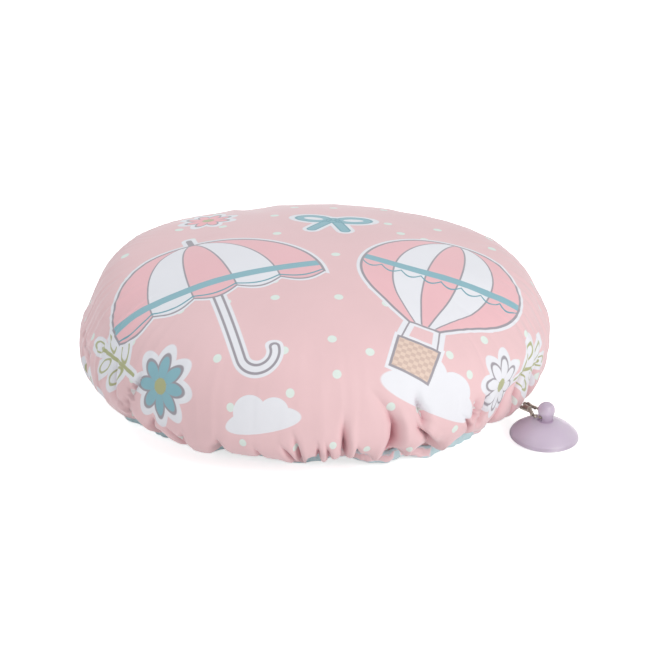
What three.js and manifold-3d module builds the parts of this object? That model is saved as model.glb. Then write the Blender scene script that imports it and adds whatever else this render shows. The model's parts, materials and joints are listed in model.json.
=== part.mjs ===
// A puffed shower cap with a gathered hem, and the ball chain and suction cup that hang it up to dry.
// Millimetres, +Z up. The cap stands on its hem with the opening down, and the cup lies beside it.
import * as THREE from "three";
import { mergeVertices } from "three/addons/utils/BufferGeometryUtils.js";
import Module from "manifold-3d";

const wasm = await Module();
wasm.setup();

// Fit: pieces that touch on the real cap keep this gap.
const clearance = 0.3;
// A cutting shape runs past the face that it cuts by this much.
const overrun = 1;

// Crown: the puffed fabric, measured to its outer face.
const crownRadius = 140;
const equatorHeight = 39;
const crownRise = 59;
// Exponents of the two superellipse quarters: 2 is a plain ellipse, more is squarer.
const crownExponent = 2.35;
const underExponent = 2.6;
const shellWall = 0.6;
const liningWall = 0.4;

// Hem: a folded binding with the flat elastic inside it.
const hemRadius = 103;
const bindingWall = 0.6;
const bindingHeight = 8;
const elasticWall = 1;
const elasticHeight = 5.5;
// The fabric turns outwards this far above the binding's top edge.
const turnRise = 3;

// Gathers: the fabric's folds round the hem, three mesh points to a fold.
const gatherCount = 24;
const pointsPerGather = 3;
// Gathers aren't evenly spaced. These are angles in radians, at three and five waves a turn.
const gatherDrift = 0.06;
const gatherDriftFine = 0.03;
const underFold = 2.2;
const hemFold = 1.4;
const equatorFold = 1.1;
const shoulderFold = 0.4;

// Ball chain: hollow balls, joined by dumbbell links whose heads sit inside them.
const ballRadius = 1.2;
const ballWall = 0.22;
const ballHole = 0.45;
const ballPitch = 3.4;
const linkWire = 0.2;
const linkHead = 0.54;
const linkHeadLength = 0.36;
// A link's head pivots this far from the middle of its ball.
const headSeat = 0.55;
// The closed loop turns on this radius at each end, and its strands leave the turns drawn in by the flare.
const loopTurn = 5.5;
const loopFlare = THREE.MathUtils.degToRad(25);
const strandShare = 0.45;
// It rises this far above the straight line between its ends.
const loopArch = 2;
// The clasp joins the balls after this count of them from the eye. Its mouths let the next links' wires
// swing.
const claspCount = 19;
const claspWall = 0.3;
const claspSlot = 0.9;
const claspMouth = 0.75;

// Suction cup, lying on its rim.
const cupRadius = 20;
const cupRimHeight = 0.9;
const cupDomeHeight = 10.2;
const cupHollow = 3.6;
const cupRimLand = 1.2;
const neckRadius = 3.9;
const knobRadius = 5;
const knobHeight = 16.6;
const knobHoleRadius = 2.05;
const knobHoleHeight = 12.6;
// The ball in the middle of the knob's hole sits this far off the hole's axis, because the loop curves.
const knobSeat = 0.5;
const cupTilt = THREE.MathUtils.degToRad(6);

// Hanging loop: a soft cord sewn into the hem, whose eye holds the chain. The eye lies this far in from the
// crown's edge, and at least the cord's reach out from the binding.
const eyeInset = 17.8;
const cordReach = 17;
const eyeBearing = THREE.MathUtils.degToRad(-18.4);
const eyeHeight = 8;
const cordRadius = 0.7;
const cordFootLow = 2.4;
// The upper foot is sewn on this far below the binding's top edge.
const cordFootDrop = 1.8;

// The chain runs from the eye to the cup's axis on this bearing, which clears the crown's edge.
const chainBearing = THREE.MathUtils.degToRad(-63);
const chainReach = 33.5;

const fabricPink = new THREE.MeshStandardMaterial({ color: 0xe9c4c3, roughness: 0.75 });
const liningWhite = new THREE.MeshStandardMaterial({ color: 0xf0eeec, roughness: 0.45 });
const bindingTeal = new THREE.MeshStandardMaterial({ color: 0x8fb3bb, roughness: 0.75 });
const elasticWhite = new THREE.MeshStandardMaterial({ color: 0xf3f1ee, roughness: 0.9 });
const cordPink = new THREE.MeshStandardMaterial({ color: 0xe7bfc0, roughness: 0.85 });
const chainSteel = new THREE.MeshStandardMaterial({ color: 0xb9b2a8, roughness: 0.28, metalness: 1 });
const cupVinyl = new THREE.MeshStandardMaterial({ color: 0xc6b5cf, roughness: 0.35 });

const parts = new THREE.Group();

function add(name, geometry, material) {
  const mesh = new THREE.Mesh(geometry, material);
  mesh.name = name;
  parts.add(mesh);
  return mesh;
}

// Solid and geometry, each way.
function solidOf(geometry) {
  const bare = new THREE.BufferGeometry().setAttribute("position", geometry.getAttribute("position"));
  bare.setIndex(geometry.index);
  const merged = mergeVertices(bare);
  return new wasm.Manifold(
    new wasm.Mesh({
      numProp: 3,
      vertProperties: merged.attributes.position.array,
      triVerts: new Uint32Array(merged.index.array),
    }),
  );
}

function geometryOf(solid) {
  const mesh = solid.getMesh();
  const geometry = new THREE.BufferGeometry();
  geometry.setAttribute("position", new THREE.BufferAttribute(mesh.vertProperties, 3));
  geometry.setIndex(new THREE.BufferAttribute(mesh.triVerts, 1));
  return geometry;
}

// A profile of [radius, height] pairs turned about Z.
function turned(profile, segments) {
  const points = profile.map(([radius, height]) => new THREE.Vector2(radius, height));
  return new THREE.LatheGeometry(points, segments).rotateX(Math.PI / 2);
}

// Joins rings of points into one skin. Neighbouring rings may have different counts, one of them a multiple
// of the other, and a ring of one point is a pole. A closed skin also joins the last ring to the first.
// Each quad is split along its shorter diagonal, so that two skins side by side are split alike.
function stitched(rings, closed) {
  const points = rings.flat();
  const starts = rings.map((_, row) => rings.slice(0, row).reduce((sum, ring) => sum + ring.length, 0));
  const faces = [];
  const rows = closed ? rings.length : rings.length - 1;
  for (let row = 0; row < rows; row++) {
    const next = (row + 1) % rings.length;
    const steps = Math.max(rings[row].length, rings[next].length);
    const at = (ring, step) =>
      starts[ring] + (Math.floor((step * rings[ring].length) / steps) % rings[ring].length);
    for (let step = 0; step < steps; step++) {
      const [a, b, c, d] = [at(row, step), at(next, step), at(next, step + 1), at(row, step + 1)];
      const split = points[a].distanceTo(points[c]) < points[b].distanceTo(points[d]);
      if (b === c) faces.push(a, b, d);
      else if (a === d) faces.push(a, b, c);
      else if (split) faces.push(a, b, c, a, c, d);
      else faces.push(a, b, d, b, c, d);
    }
  }
  const geometry = new THREE.BufferGeometry();
  const positions = points.flatMap((point) => point.toArray());
  geometry.setAttribute("position", new THREE.Float32BufferAttribute(positions, 3));
  geometry.setIndex(faces);
  return geometry;
}

// Gathers: where each mesh point stands round the cap, and how far it is pushed out. A gather has one point
// in its crease, at -1, and two on its lobe, at 1/2, so the creases are narrow and the lobes broad.
const roundCount = gatherCount * pointsPerGather;

function gatherAngle(turn) {
  return turn + gatherDrift * Math.sin(3 * turn) + gatherDriftFine * Math.sin(5 * turn + 1);
}

function gatherWave(turn) {
  return -Math.cos(gatherCount * turn);
}

// One ring of points: radius and height are functions of the gather wave.
function ring(count, radius, height) {
  if (count === 1) return [new THREE.Vector3(0, 0, height(0))];
  return Array.from({ length: count }, (_, step) => {
    const turn = (2 * Math.PI * step) / count;
    const wave = gatherWave(turn);
    const angle = gatherAngle(turn);
    return new THREE.Vector3(radius(wave) * Math.cos(angle), radius(wave) * Math.sin(angle), height(wave));
  });
}

// Hem layers, from the outside in. Each value is the distance of a face from the middle line of the hem.
const layersWidth = 2 * bindingWall + shellWall + liningWall + elasticWall + 4 * clearance;
const bindingOut = layersWidth / 2;
const shellOut = bindingOut - bindingWall - clearance;
const liningOut = shellOut - shellWall - clearance;
const elasticOut = liningOut - liningWall - clearance;
const slotIn = elasticOut - elasticWall - clearance;
const slotFloor = bindingWall;
const layerFoot = slotFloor + clearance;

// The crown's outer face in one half plane: a quarter from the top to the equator, a quarter that curls in
// under it, and a straight leg down into the binding. Each station has a count of mesh points round it.
const legRadius = hemRadius + shellOut;
const turnHeight = bindingHeight + turnRise;

function crownStation(degrees, fold, count) {
  const angle = THREE.MathUtils.degToRad(degrees);
  return {
    radius: crownRadius * Math.sin(angle) ** (2 / crownExponent),
    height: equatorHeight + crownRise * Math.max(Math.cos(angle), 0) ** (2 / crownExponent),
    fold,
    count,
  };
}

function underStation(degrees, fold) {
  const angle = THREE.MathUtils.degToRad(degrees);
  return {
    radius: legRadius + (crownRadius - legRadius) * Math.max(Math.cos(angle), 0) ** (2 / underExponent),
    height: equatorHeight - (equatorHeight - turnHeight) * Math.sin(angle) ** (2 / underExponent),
    fold,
    count: roundCount,
  };
}

const stations = [
  crownStation(0, 0, 1),
  crownStation(16, 0, roundCount / 4),
  crownStation(34, 0, roundCount / 2),
  crownStation(52, 0, roundCount / 2),
  crownStation(70, shoulderFold, roundCount),
  crownStation(90, equatorFold, roundCount),
  underStation(32, underFold),
  underStation(56, underFold),
  underStation(76, underFold),
  underStation(90, hemFold),
  { radius: legRadius, height: layerFoot, fold: hemFold, count: roundCount },
];

// The way that each station moves when the skin is offset by a millimetre, as [radial, vertical]: out from
// the skin, and mitred where two edges of the half plane meet.
const edgeNormals = stations.slice(1).map((station, row) => {
  const above = stations[row];
  const along = new THREE.Vector2(station.radius - above.radius, station.height - above.height).normalize();
  return new THREE.Vector2(-along.y, along.x);
});

const normals = stations.map((_, row) => {
  if (row === 0) return new THREE.Vector2(0, 1);
  const above = edgeNormals[row - 1];
  const below = edgeNormals[row] ?? above;
  return above.clone().add(below).divideScalar(1 + above.dot(below));
});

// One layer of fabric, between two distances in from the crown's outer face.
function fabricLayer(outside, inside) {
  const face = (depth) =>
    stations.map((station, row) => {
      const foot = row === stations.length - 1;
      return ring(
        station.count,
        (wave) => station.radius + normals[row].x * (station.fold * wave - depth),
        (wave) => (foot ? station.height : station.height + normals[row].y * (station.fold * wave - depth)),
      );
    });
  return stitched([...face(outside), ...face(inside).reverse()], false);
}

// A band that follows the gathered hem. The section is a closed list of [distance out, height] corners that
// starts at the top of its outer side and runs down it.
function hemBand(section) {
  const rings = section.map(([out, height]) =>
    ring(
      roundCount,
      (wave) => hemRadius + out + hemFold * wave,
      () => height,
    ),
  );
  return stitched(rings, true);
}

add("outer_shell", fabricLayer(0, shellWall), fabricPink);
add("waterproof_lining", fabricLayer(shellOut - liningOut, shellOut - liningOut + liningWall), liningWhite);
add(
  "hem_binding",
  hemBand([
    [bindingOut, bindingHeight],
    [bindingOut, 0],
    [-bindingOut, 0],
    [-bindingOut, bindingHeight],
    [slotIn, bindingHeight],
    [slotIn, slotFloor],
    [bindingOut - bindingWall, slotFloor],
    [bindingOut - bindingWall, bindingHeight],
  ]),
  bindingTeal,
);
add(
  "hem_elastic",
  hemBand([
    [elasticOut, layerFoot + elasticHeight],
    [elasticOut, layerFoot],
    [elasticOut - elasticWall, layerFoot],
    [elasticOut - elasticWall, layerFoot + elasticHeight],
  ]),
  elasticWhite,
);

// Suction cup: its own frame has the rim on Z = 0, the chain's heading along +X and the knob's hole along Y.
function domeHeight(radius) {
  const share = (cupRadius - radius) / (cupRadius - neckRadius);
  return cupRimHeight + (cupDomeHeight - cupRimHeight) * Math.sin((share * Math.PI) / 2) ** (5 / 4);
}

function hollowHeight(radius) {
  const reach = cupRadius - cupRimLand;
  return cupHollow * Math.cos((radius / reach) * (Math.PI / 2));
}

function suctionCup() {
  const neckTop = knobHeight - Math.sqrt(knobRadius ** 2 - neckRadius ** 2);
  const knobStart = Math.asin((neckTop - knobHeight) / knobRadius);
  const hollowShares = [0, 0.3, 0.6, 0.85];
  const domeShares = [1, 0.87, 0.7, 0.5, 0.25, 0];
  const knobSteps = 7;
  const profile = [
    ...hollowShares.map((share) => {
      const radius = share * (cupRadius - cupRimLand);
      return [radius, hollowHeight(radius)];
    }),
    [cupRadius - cupRimLand, 0],
    [cupRadius, 0],
    ...domeShares.map((share) => {
      const radius = neckRadius + share * (cupRadius - neckRadius);
      return [radius, domeHeight(radius)];
    }),
  ];
  for (let step = 0; step < knobSteps; step++) {
    const angle = knobStart + ((Math.PI / 2 - knobStart) * step) / knobSteps;
    profile.push([knobRadius * Math.cos(angle), knobHeight + knobRadius * Math.sin(angle)]);
  }
  profile.push([0, knobHeight + knobRadius]);
  const hole = new THREE.CylinderGeometry(knobHoleRadius, knobHoleRadius, 2 * (knobRadius + overrun), 14);
  hole.translate(0, 0, knobHoleHeight);
  return geometryOf(solidOf(turned(profile, 32)).subtract(solidOf(hole)));
}

const eyeDistance = Math.max(crownRadius - eyeInset, hemRadius + bindingOut + cordReach);
const eyeBall = new THREE.Vector3(Math.cos(eyeBearing), Math.sin(eyeBearing), 0).multiplyScalar(eyeDistance);
eyeBall.setZ(eyeHeight);
const heading = new THREE.Vector3(Math.cos(chainBearing), Math.sin(chainBearing), 0);
const across = new THREE.Vector3(-heading.y, heading.x, 0);
const up = new THREE.Vector3(0, 0, 1);
const cup = add("suction_cup", suctionCup(), cupVinyl);
cup.position.copy(eyeBall).addScaledVector(heading, chainReach).setZ(cupRadius * Math.sin(cupTilt));
cup.quaternion
  .setFromAxisAngle(across, cupTilt)
  .multiply(new THREE.Quaternion().setFromRotationMatrix(new THREE.Matrix4().makeBasis(heading, across, up)));
cup.updateMatrixWorld();

// The closed loop of chain runs from the eye, through the knob's hole and back. Its own frame has the eye's
// ball at the origin, the knob's ball on +X and the sides along Y. Each end is an arc, and the strands between
// them draw together in the middle.
const knobBall = cup.localToWorld(new THREE.Vector3(knobSeat, 0, knobHoleHeight));
const chainAlong = knobBall.clone().sub(eyeBall);
const loopLength = chainAlong.length();
chainAlong.normalize();

function chainLoop() {
  const inset = loopTurn * (1 + Math.sin(loopFlare));
  const aside = loopTurn * Math.cos(loopFlare);
  const reach = strandShare * (loopLength - 2 * inset);
  const [near, far] = [inset + reach * Math.cos(loopFlare), loopLength - inset - reach * Math.cos(loopFlare)];
  const drawn = aside - reach * Math.sin(loopFlare);
  const [half, flare] = [Math.PI / 2, loopFlare];
  const path = new THREE.Path();
  path.absarc(loopTurn, 0, loopTurn, Math.PI, half - flare, true);
  path.bezierCurveTo(near, drawn, far, drawn, loopLength - inset, aside);
  path.absarc(loopLength - loopTurn, 0, loopTurn, half + flare, -half - flare, true);
  path.bezierCurveTo(far, -drawn, near, -drawn, inset, -aside);
  path.absarc(loopTurn, 0, loopTurn, flare - half, -Math.PI, true);
  return path;
}

// Balls lie at equal lengths along the loop, with one at the eye and one in the knob, so their count is even.
const loop = chainLoop();
const ballCount = 2 * Math.round(loop.getLength() / ballPitch / 2);
const ballPlaces = Array.from({ length: ballCount }, (_, ball) => {
  const place = loop.getPointAt(ball / ballCount);
  const rise = loopArch * Math.sin((Math.PI * place.x) / loopLength);
  return eyeBall
    .clone()
    .addScaledVector(chainAlong, place.x)
    .addScaledVector(across, place.y)
    .addScaledVector(up, rise);
});
const ballAxes = ballPlaces.map((place, ball) => {
  const before = ballPlaces[(ball + ballCount - 1) % ballCount];
  const after = ballPlaces[(ball + 1) % ballCount];
  return after.clone().sub(before).normalize();
});

function ballShape() {
  const inner = ballRadius - ballWall;
  const arc = (radius, from, steps) => {
    const end = Math.acos(ballHole / radius);
    return Array.from({ length: steps + 1 }, (_, step) => {
      const angle = from * end * (1 - (2 * step) / steps);
      return [radius * Math.cos(angle), radius * Math.sin(angle)];
    });
  };
  const profile = [...arc(ballRadius, -1, 4), ...arc(inner, 1, 2)];
  return turned([...profile, profile[0]], 8);
}

// A link from the middle of one head at the origin to the middle of the other at a height.
function linkShape(length) {
  const half = linkHeadLength / 2;
  const rim = (linkHead + linkWire) / 2;
  return turned(
    [
      [0, -half],
      [rim, -half],
      [linkHead, 0],
      [linkWire, half],
      [linkWire, length - half],
      [linkHead, length],
      [rim, length + half],
      [0, length + half],
    ],
    6,
  );
}

// The clasp is a split sleeve, centred on its origin along Z, that holds a ball at each end. Its slot lets the
// link's wire in, and the round window in the middle lets a ball in.
function claspShape(span) {
  const bore = ballRadius + clearance;
  const out = bore + claspWall;
  const half = span / 2 + bore + claspWall;
  const sleeve = turned(
    [
      [claspMouth, -half],
      [out, -half],
      [out, half],
      [claspMouth, half],
      [claspMouth, half - claspWall],
      [bore, half - claspWall],
      [bore, claspWall - half],
      [claspMouth, claspWall - half],
      [claspMouth, -half],
    ],
    16,
  );
  const slot = new THREE.BoxGeometry(out + overrun, claspSlot, 2 * (half + overrun));
  slot.translate((out + overrun) / 2, 0, 0);
  const window = new THREE.CylinderGeometry(bore - claspWall, bore - claspWall, out + overrun, 12);
  window.rotateZ(Math.PI / 2).translate((out + overrun) / 2, 0, 0);
  return geometryOf(solidOf(sleeve).subtract(solidOf(slot)).subtract(solidOf(window)));
}

const chainNormal = new THREE.Vector3().crossVectors(chainAlong, across);

function aim(mesh, place, direction) {
  const side = new THREE.Vector3().crossVectors(direction, chainNormal).normalize();
  const top = new THREE.Vector3().crossVectors(direction, side);
  mesh.position.copy(place);
  mesh.quaternion.setFromRotationMatrix(new THREE.Matrix4().makeBasis(side, top, direction));
}

const label = (number) => String(number + 1).padStart(2, "0");

for (let ball = 0; ball < ballCount; ball++) {
  aim(add(`ball_${label(ball)}`, ballShape(), chainSteel), ballPlaces[ball], ballAxes[ball]);
  const next = (ball + 1) % ballCount;
  if (ball === claspCount) {
    const between = ballPlaces[next].clone().sub(ballPlaces[ball]);
    const middle = ballPlaces[ball].clone().addScaledVector(between, 1 / 2);
    const clasp = add("chain_clasp", claspShape(between.length()), chainSteel);
    aim(clasp, middle, between.normalize());
  } else {
    const from = ballPlaces[ball].clone().addScaledVector(ballAxes[ball], headSeat);
    const to = ballPlaces[next].clone().addScaledVector(ballAxes[next], -headSeat);
    const between = to.clone().sub(from);
    const link = add(`link_${label(ball)}`, linkShape(between.length()), chainSteel);
    aim(link, from, between.normalize());
  }
}

// Hanging loop: the cord leaves the lobe beside +X at two heights, swings round to the chain's heading, and
// closes in an upright U round the ball in its eye.
const eyeTurn = ballRadius + cordRadius + clearance + knobSeat;
const eyeCentre = eyeBall.clone().addScaledVector(heading, -knobSeat);
const footTurn = -Math.PI / gatherCount;
const footRadius = hemRadius + bindingOut + hemFold / 2 + clearance;

function cordPoint(away, height) {
  return eyeCentre.clone().addScaledVector(heading, away).setZ(eyeHeight + height);
}

function cordFoot(height, radius) {
  const angle = gatherAngle(footTurn);
  return new THREE.Vector3(radius * Math.cos(angle), radius * Math.sin(angle), height);
}

const slant = Math.SQRT1_2 * eyeTurn;
const cordRoute = new THREE.CatmullRomCurve3([
  cordFoot(cordFootLow, footRadius),
  cordFoot(cordFootLow, footRadius + 2 * cordRadius),
  cordPoint(-eyeTurn, -slant),
  cordPoint(0, -eyeTurn),
  cordPoint(slant, -slant),
  cordPoint(eyeTurn, 0),
  cordPoint(slant, slant),
  cordPoint(0, eyeTurn),
  cordPoint(-eyeTurn, slant),
  cordFoot(bindingHeight - cordFootDrop, footRadius + 2 * cordRadius),
  cordFoot(bindingHeight - cordFootDrop, footRadius),
]);
const cordSection = new THREE.Shape();
cordSection.absarc(0, 0, cordRadius, 0, 2 * Math.PI);
const cordShape = new THREE.ExtrudeGeometry(cordSection, {
  extrudePath: cordRoute,
  steps: 36,
  curveSegments: 8,
  bevelEnabled: false,
});
add("hanging_loop", cordShape, cordPink);

// The origin is the middle of the part's footprint, on the surface that it stands on.
const footprint = new THREE.Box3().setFromObject(parts, true);
const middle = footprint.getCenter(new THREE.Vector3());
parts.position.set(-middle.x, -middle.y, -footprint.min.z);

export default parts;
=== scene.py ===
# %% [markdown]
# A puffed shower cap with its hanger: a ball chain and a suction cup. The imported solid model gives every
# place and size, and this file dresses it in cloth, film, steel and vinyl. Each cell makes one piece or
# finish.

# %% Start
import json
import math
import random

import bmesh
import bpy
import numpy as np
from mathutils import Matrix, Vector


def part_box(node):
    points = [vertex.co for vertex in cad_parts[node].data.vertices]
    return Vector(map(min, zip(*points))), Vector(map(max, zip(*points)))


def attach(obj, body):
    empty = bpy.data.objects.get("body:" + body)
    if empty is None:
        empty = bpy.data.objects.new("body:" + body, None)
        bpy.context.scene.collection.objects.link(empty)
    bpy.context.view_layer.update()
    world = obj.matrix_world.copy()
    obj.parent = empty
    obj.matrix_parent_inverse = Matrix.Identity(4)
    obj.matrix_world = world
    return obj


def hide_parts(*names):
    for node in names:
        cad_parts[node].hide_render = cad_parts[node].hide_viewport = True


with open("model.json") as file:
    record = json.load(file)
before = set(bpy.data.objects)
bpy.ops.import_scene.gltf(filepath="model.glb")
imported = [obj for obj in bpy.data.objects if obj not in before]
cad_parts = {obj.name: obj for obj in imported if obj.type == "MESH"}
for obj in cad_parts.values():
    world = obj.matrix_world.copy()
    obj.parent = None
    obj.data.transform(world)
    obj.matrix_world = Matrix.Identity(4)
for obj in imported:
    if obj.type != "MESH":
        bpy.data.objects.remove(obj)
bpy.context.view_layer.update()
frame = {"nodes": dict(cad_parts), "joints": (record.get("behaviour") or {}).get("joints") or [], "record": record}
MM = 0.001
BODIES = frame["record"]["behaviour"]["bodies"]


def new_object(name, data):
    made = bpy.data.objects.new(name, data)
    bpy.context.scene.collection.objects.link(made)
    return made

# %% [markdown]
# The camera comes first. The photograph looks down on the cap by 22 degrees from about a metre and a half.
# PIXELS_PER_MM holds at the cap's axis, and the two pixel values say where the axis point lies in the
# picture.

# %% Camera
PICTURE = 660
PIXELS_PER_MM = 1.68
AXIS_PIXEL_X = 316.25
AXIS_PIXEL_Y = 332.4
CAMERA_ELEVATION = math.radians(22)
CAMERA_DISTANCE = 1500 * MM
AXIS_POINT_HEIGHT = 38.3 * MM
SENSOR_WIDTH = 36
FARTHEST = 50

binding_low, binding_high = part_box("hem_binding")
cap_axis = Vector(((binding_low.x + binding_high.x) / 2, (binding_low.y + binding_high.y) / 2, 0))
camera_up = Vector((0, math.sin(CAMERA_ELEVATION), math.cos(CAMERA_ELEVATION)))
camera_back = Vector((0, -math.cos(CAMERA_ELEVATION), math.sin(CAMERA_ELEVATION)))
pixel = MM / PIXELS_PER_MM
target = cap_axis + Vector((0, 0, AXIS_POINT_HEIGHT))
target += Vector((1, 0, 0)) * (PICTURE / 2 - AXIS_PIXEL_X) * pixel
target += camera_up * (AXIS_PIXEL_Y - PICTURE / 2) * pixel

camera = new_object("camera", bpy.data.cameras.new("camera"))
camera.location = target + camera_back * CAMERA_DISTANCE
camera.rotation_euler = (math.pi / 2 - CAMERA_ELEVATION, 0, 0)
camera.data.sensor_width = SENSOR_WIDTH
camera.data.lens = SENSOR_WIDTH * CAMERA_DISTANCE / (PICTURE * pixel)
camera.data.clip_end = FARTHEST
bpy.context.scene.camera = camera
print("cap's axis at", [round(v, 5) for v in cap_axis], "lens", round(camera.data.lens, 1))

# %% [markdown]
# Finishes are built from nodes. add_node makes a node with its settings, and feed fills its inputs: a link
# where the value comes from another node, and otherwise the plain number or colour, set on the socket
# itself.

# %% Node helpers


def new_material(name):
    material = bpy.data.materials.new(name)
    material.use_nodes = True
    return material, material.node_tree, material.node_tree.nodes["Principled BSDF"]


def feed(tree, node, inputs):
    for name, value in inputs.items():
        value = getattr(value, "socket", value)
        if isinstance(value, bpy.types.NodeSocket):
            tree.links.new(value, node.inputs[name])
        else:
            node.inputs[name].default_value = value


def add_node(tree, kind, inputs, **settings):
    node = tree.nodes.new(kind)
    for name, value in settings.items():
        setattr(node, name, value)
    feed(tree, node, inputs)
    return node


def ranged(tree, value, low, high, source=(0, 1)):
    """A value that runs over the source range, brought to another range."""
    inputs = {"Value": value, "From Min": source[0], "From Max": source[1], "To Min": low, "To Max": high}
    return add_node(tree, "ShaderNodeMapRange", inputs).outputs[0]


def blended(tree, factor, first, second, blend="MIX"):
    """Two colours mixed by a factor."""
    inputs = {"Factor": factor, "A": first, "B": second}
    return add_node(tree, "ShaderNodeMix", inputs, data_type="RGBA", blend_type=blend).outputs["Result"]


def uv_place(tree, name):
    return add_node(tree, "ShaderNodeUVMap", {}, uv_map=name).outputs[0]


def object_place(tree):
    return add_node(tree, "ShaderNodeTexCoord", {}).outputs["Object"]


def parts_of(tree, vector):
    """The X and the Y of a vector, as numbers to reckon with."""
    parts = add_node(tree, "ShaderNodeSeparateXYZ", {0: vector})
    return Inked(tree, parts.outputs["X"]), Inked(tree, parts.outputs["Y"])


def point_value(tree, name):
    """A number that the mesh carries at its points."""
    return Inked(tree, add_node(tree, "ShaderNodeAttribute", {}, attribute_name=name).outputs["Fac"])


# %% [markdown]
# The studio is a white floor that runs to the horizon, an even white world and two broad lamps. The front
# right lamp is the stronger one, as in the photograph.

# %% Studio
FLOOR_SIZE = 12
FLOOR_LIFT = 0.68
WORLD_LEVEL = 0.54
# Each lamp: its place from the cap's axis in metres, its power in watts, its size in metres and its colour.
LAMPS = {
    "key": ((0.9, -1.0, 0.75), 9.2, 0.6, (1.0, 0.965, 0.945)),
    "top": ((-0.6, 0.2, 1.4), 5.5, 1.1, (0.95, 0.965, 1.0)),
}

bpy.context.scene.view_settings.view_transform = "Standard"


def background_rays(tree):
    """1 for a ray that shows the background: straight to the camera, or by way of gloss or clear vinyl."""
    rays = add_node(tree, "ShaderNodeLightPath", {}).outputs
    seen = rays["Is Camera Ray"]
    for name in ("Is Glossy Ray", "Is Transmission Ray"):
        seen = add_node(tree, "ShaderNodeMath", {0: seen, 1: rays[name]}, operation="MAXIMUM").outputs[0]
    return seen


def make_world():
    world = bpy.data.worlds.new("studio")
    world.use_nodes = True
    tree = world.node_tree
    strength = ranged(tree, background_rays(tree), WORLD_LEVEL, 1)
    feed(tree, tree.nodes["Background"], {"Color": (1, 1, 1, 1), "Strength": strength})
    bpy.context.scene.world = world


def make_floor():
    mesh = bpy.data.meshes.new("floor")
    half = FLOOR_SIZE / 2
    corners = [(-half, -half, 0), (half, -half, 0), (half, half, 0), (-half, half, 0)]
    mesh.from_pydata(corners, [], [(0, 1, 2, 3)])
    floor = new_object("floor", mesh)
    material, tree, shader = new_material("floor_paper")
    lift = add_node(tree, "ShaderNodeMath", {0: background_rays(tree), 1: FLOOR_LIFT}, operation="MULTIPLY")
    feed(tree, shader, {
        "Base Color": (0.93, 0.93, 0.93, 1),
        "Roughness": 0.9,
        "Specular IOR Level": 0.1,
        "Emission Color": (1, 1, 1, 1),
        "Emission Strength": lift.outputs[0],
    })
    mesh.materials.append(material)


def make_lamp(name, place, power, size, colour):
    lamp = new_object(name, bpy.data.lights.new(name, "AREA"))
    lamp.data.energy = power
    lamp.data.size = size
    lamp.data.color = colour
    lamp.location = cap_axis + Vector(place)
    aim = cap_axis + Vector((0, 0, AXIS_POINT_HEIGHT)) - lamp.location
    lamp.rotation_euler = aim.to_track_quat("-Z", "Y").to_euler()


make_world()
make_floor()
for lamp_name, lamp_settings in LAMPS.items():
    make_lamp(lamp_name, *lamp_settings)

# %% [markdown]
# A maker thinks of a piece as points and faces, so most pieces here are grids of points: rows along one
# direction and columns along the other. The same helper joins them all.

# %% Mesh helpers


def link_mesh(name, points, faces):
    mesh = bpy.data.meshes.new(name)
    mesh.from_pydata([tuple(p) for p in points], [], faces)
    mesh.validate()
    mesh.shade_smooth()
    return new_object(name, mesh)


def ring_faces(rows, columns, closed_rows=False):
    """Quads between neighbouring rows of a grid whose columns run all the way round."""
    faces = []
    for row in range(rows if closed_rows else rows - 1):
        below = (row + 1) % rows
        for column in range(columns):
            right = (column + 1) % columns
            faces.append((row * columns + column, below * columns + column,
                          below * columns + right, row * columns + right))
    return faces


def round_cap(angle, radius, height):
    """Points at angles and radii round the cap's axis. The array's last direction is x, y and z."""
    x, y = cap_axis.x + radius * np.cos(angle), cap_axis.y + radius * np.sin(angle)
    return np.stack([x, y, np.broadcast_to(height, np.shape(angle))], axis=-1)


def write_numbers(mesh, name, values):
    """Gives every point of a mesh a number, which its finish or a node tree can read."""
    numbers = mesh.attributes.new(name, "FLOAT", "POINT")
    numbers.data.foreach_set("value", np.asarray(values, dtype=np.float32))


def flat_copy(piece, name):
    """A plain mesh of a piece with its modifiers applied, in a new object that takes its place."""
    evaluated = piece.evaluated_get(bpy.context.evaluated_depsgraph_get())
    mesh = bpy.data.meshes.new_from_object(evaluated)
    bpy.data.meshes.remove(piece.data)
    mesh.name = name
    return new_object(name, mesh)


def modified(piece, name, kind, **settings):
    """A piece with one modifier applied, as a plain mesh."""
    modifier = piece.modifiers.new(kind.lower(), kind)
    for setting, value in settings.items():
        setattr(modifier, setting, value)
    made = flat_copy(piece, name)
    made.data.shade_smooth()
    return made


def finish(piece, material):
    piece.data.materials.clear()
    piece.data.materials.append(material)


def dress(piece, body, slot, *nodes):
    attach(piece, body)
    if nodes:
        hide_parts(*nodes)
    triangles = sum(len(face.vertices) - 2 for face in piece.data.polygons)
    print(piece.name, "rides on", body, "with", triangles, "triangles")


# %% [markdown]
# A satin print in a shader: each motif is drawn with distances. The distance to a circle or a line is a
# short sum, a negative distance is inside, and a mask is the distance held between 0 and 1. Inked lets
# Python's own signs build those sums as Math nodes, and numbers go straight into the nodes' sockets.

# %% Ink helpers


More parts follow.
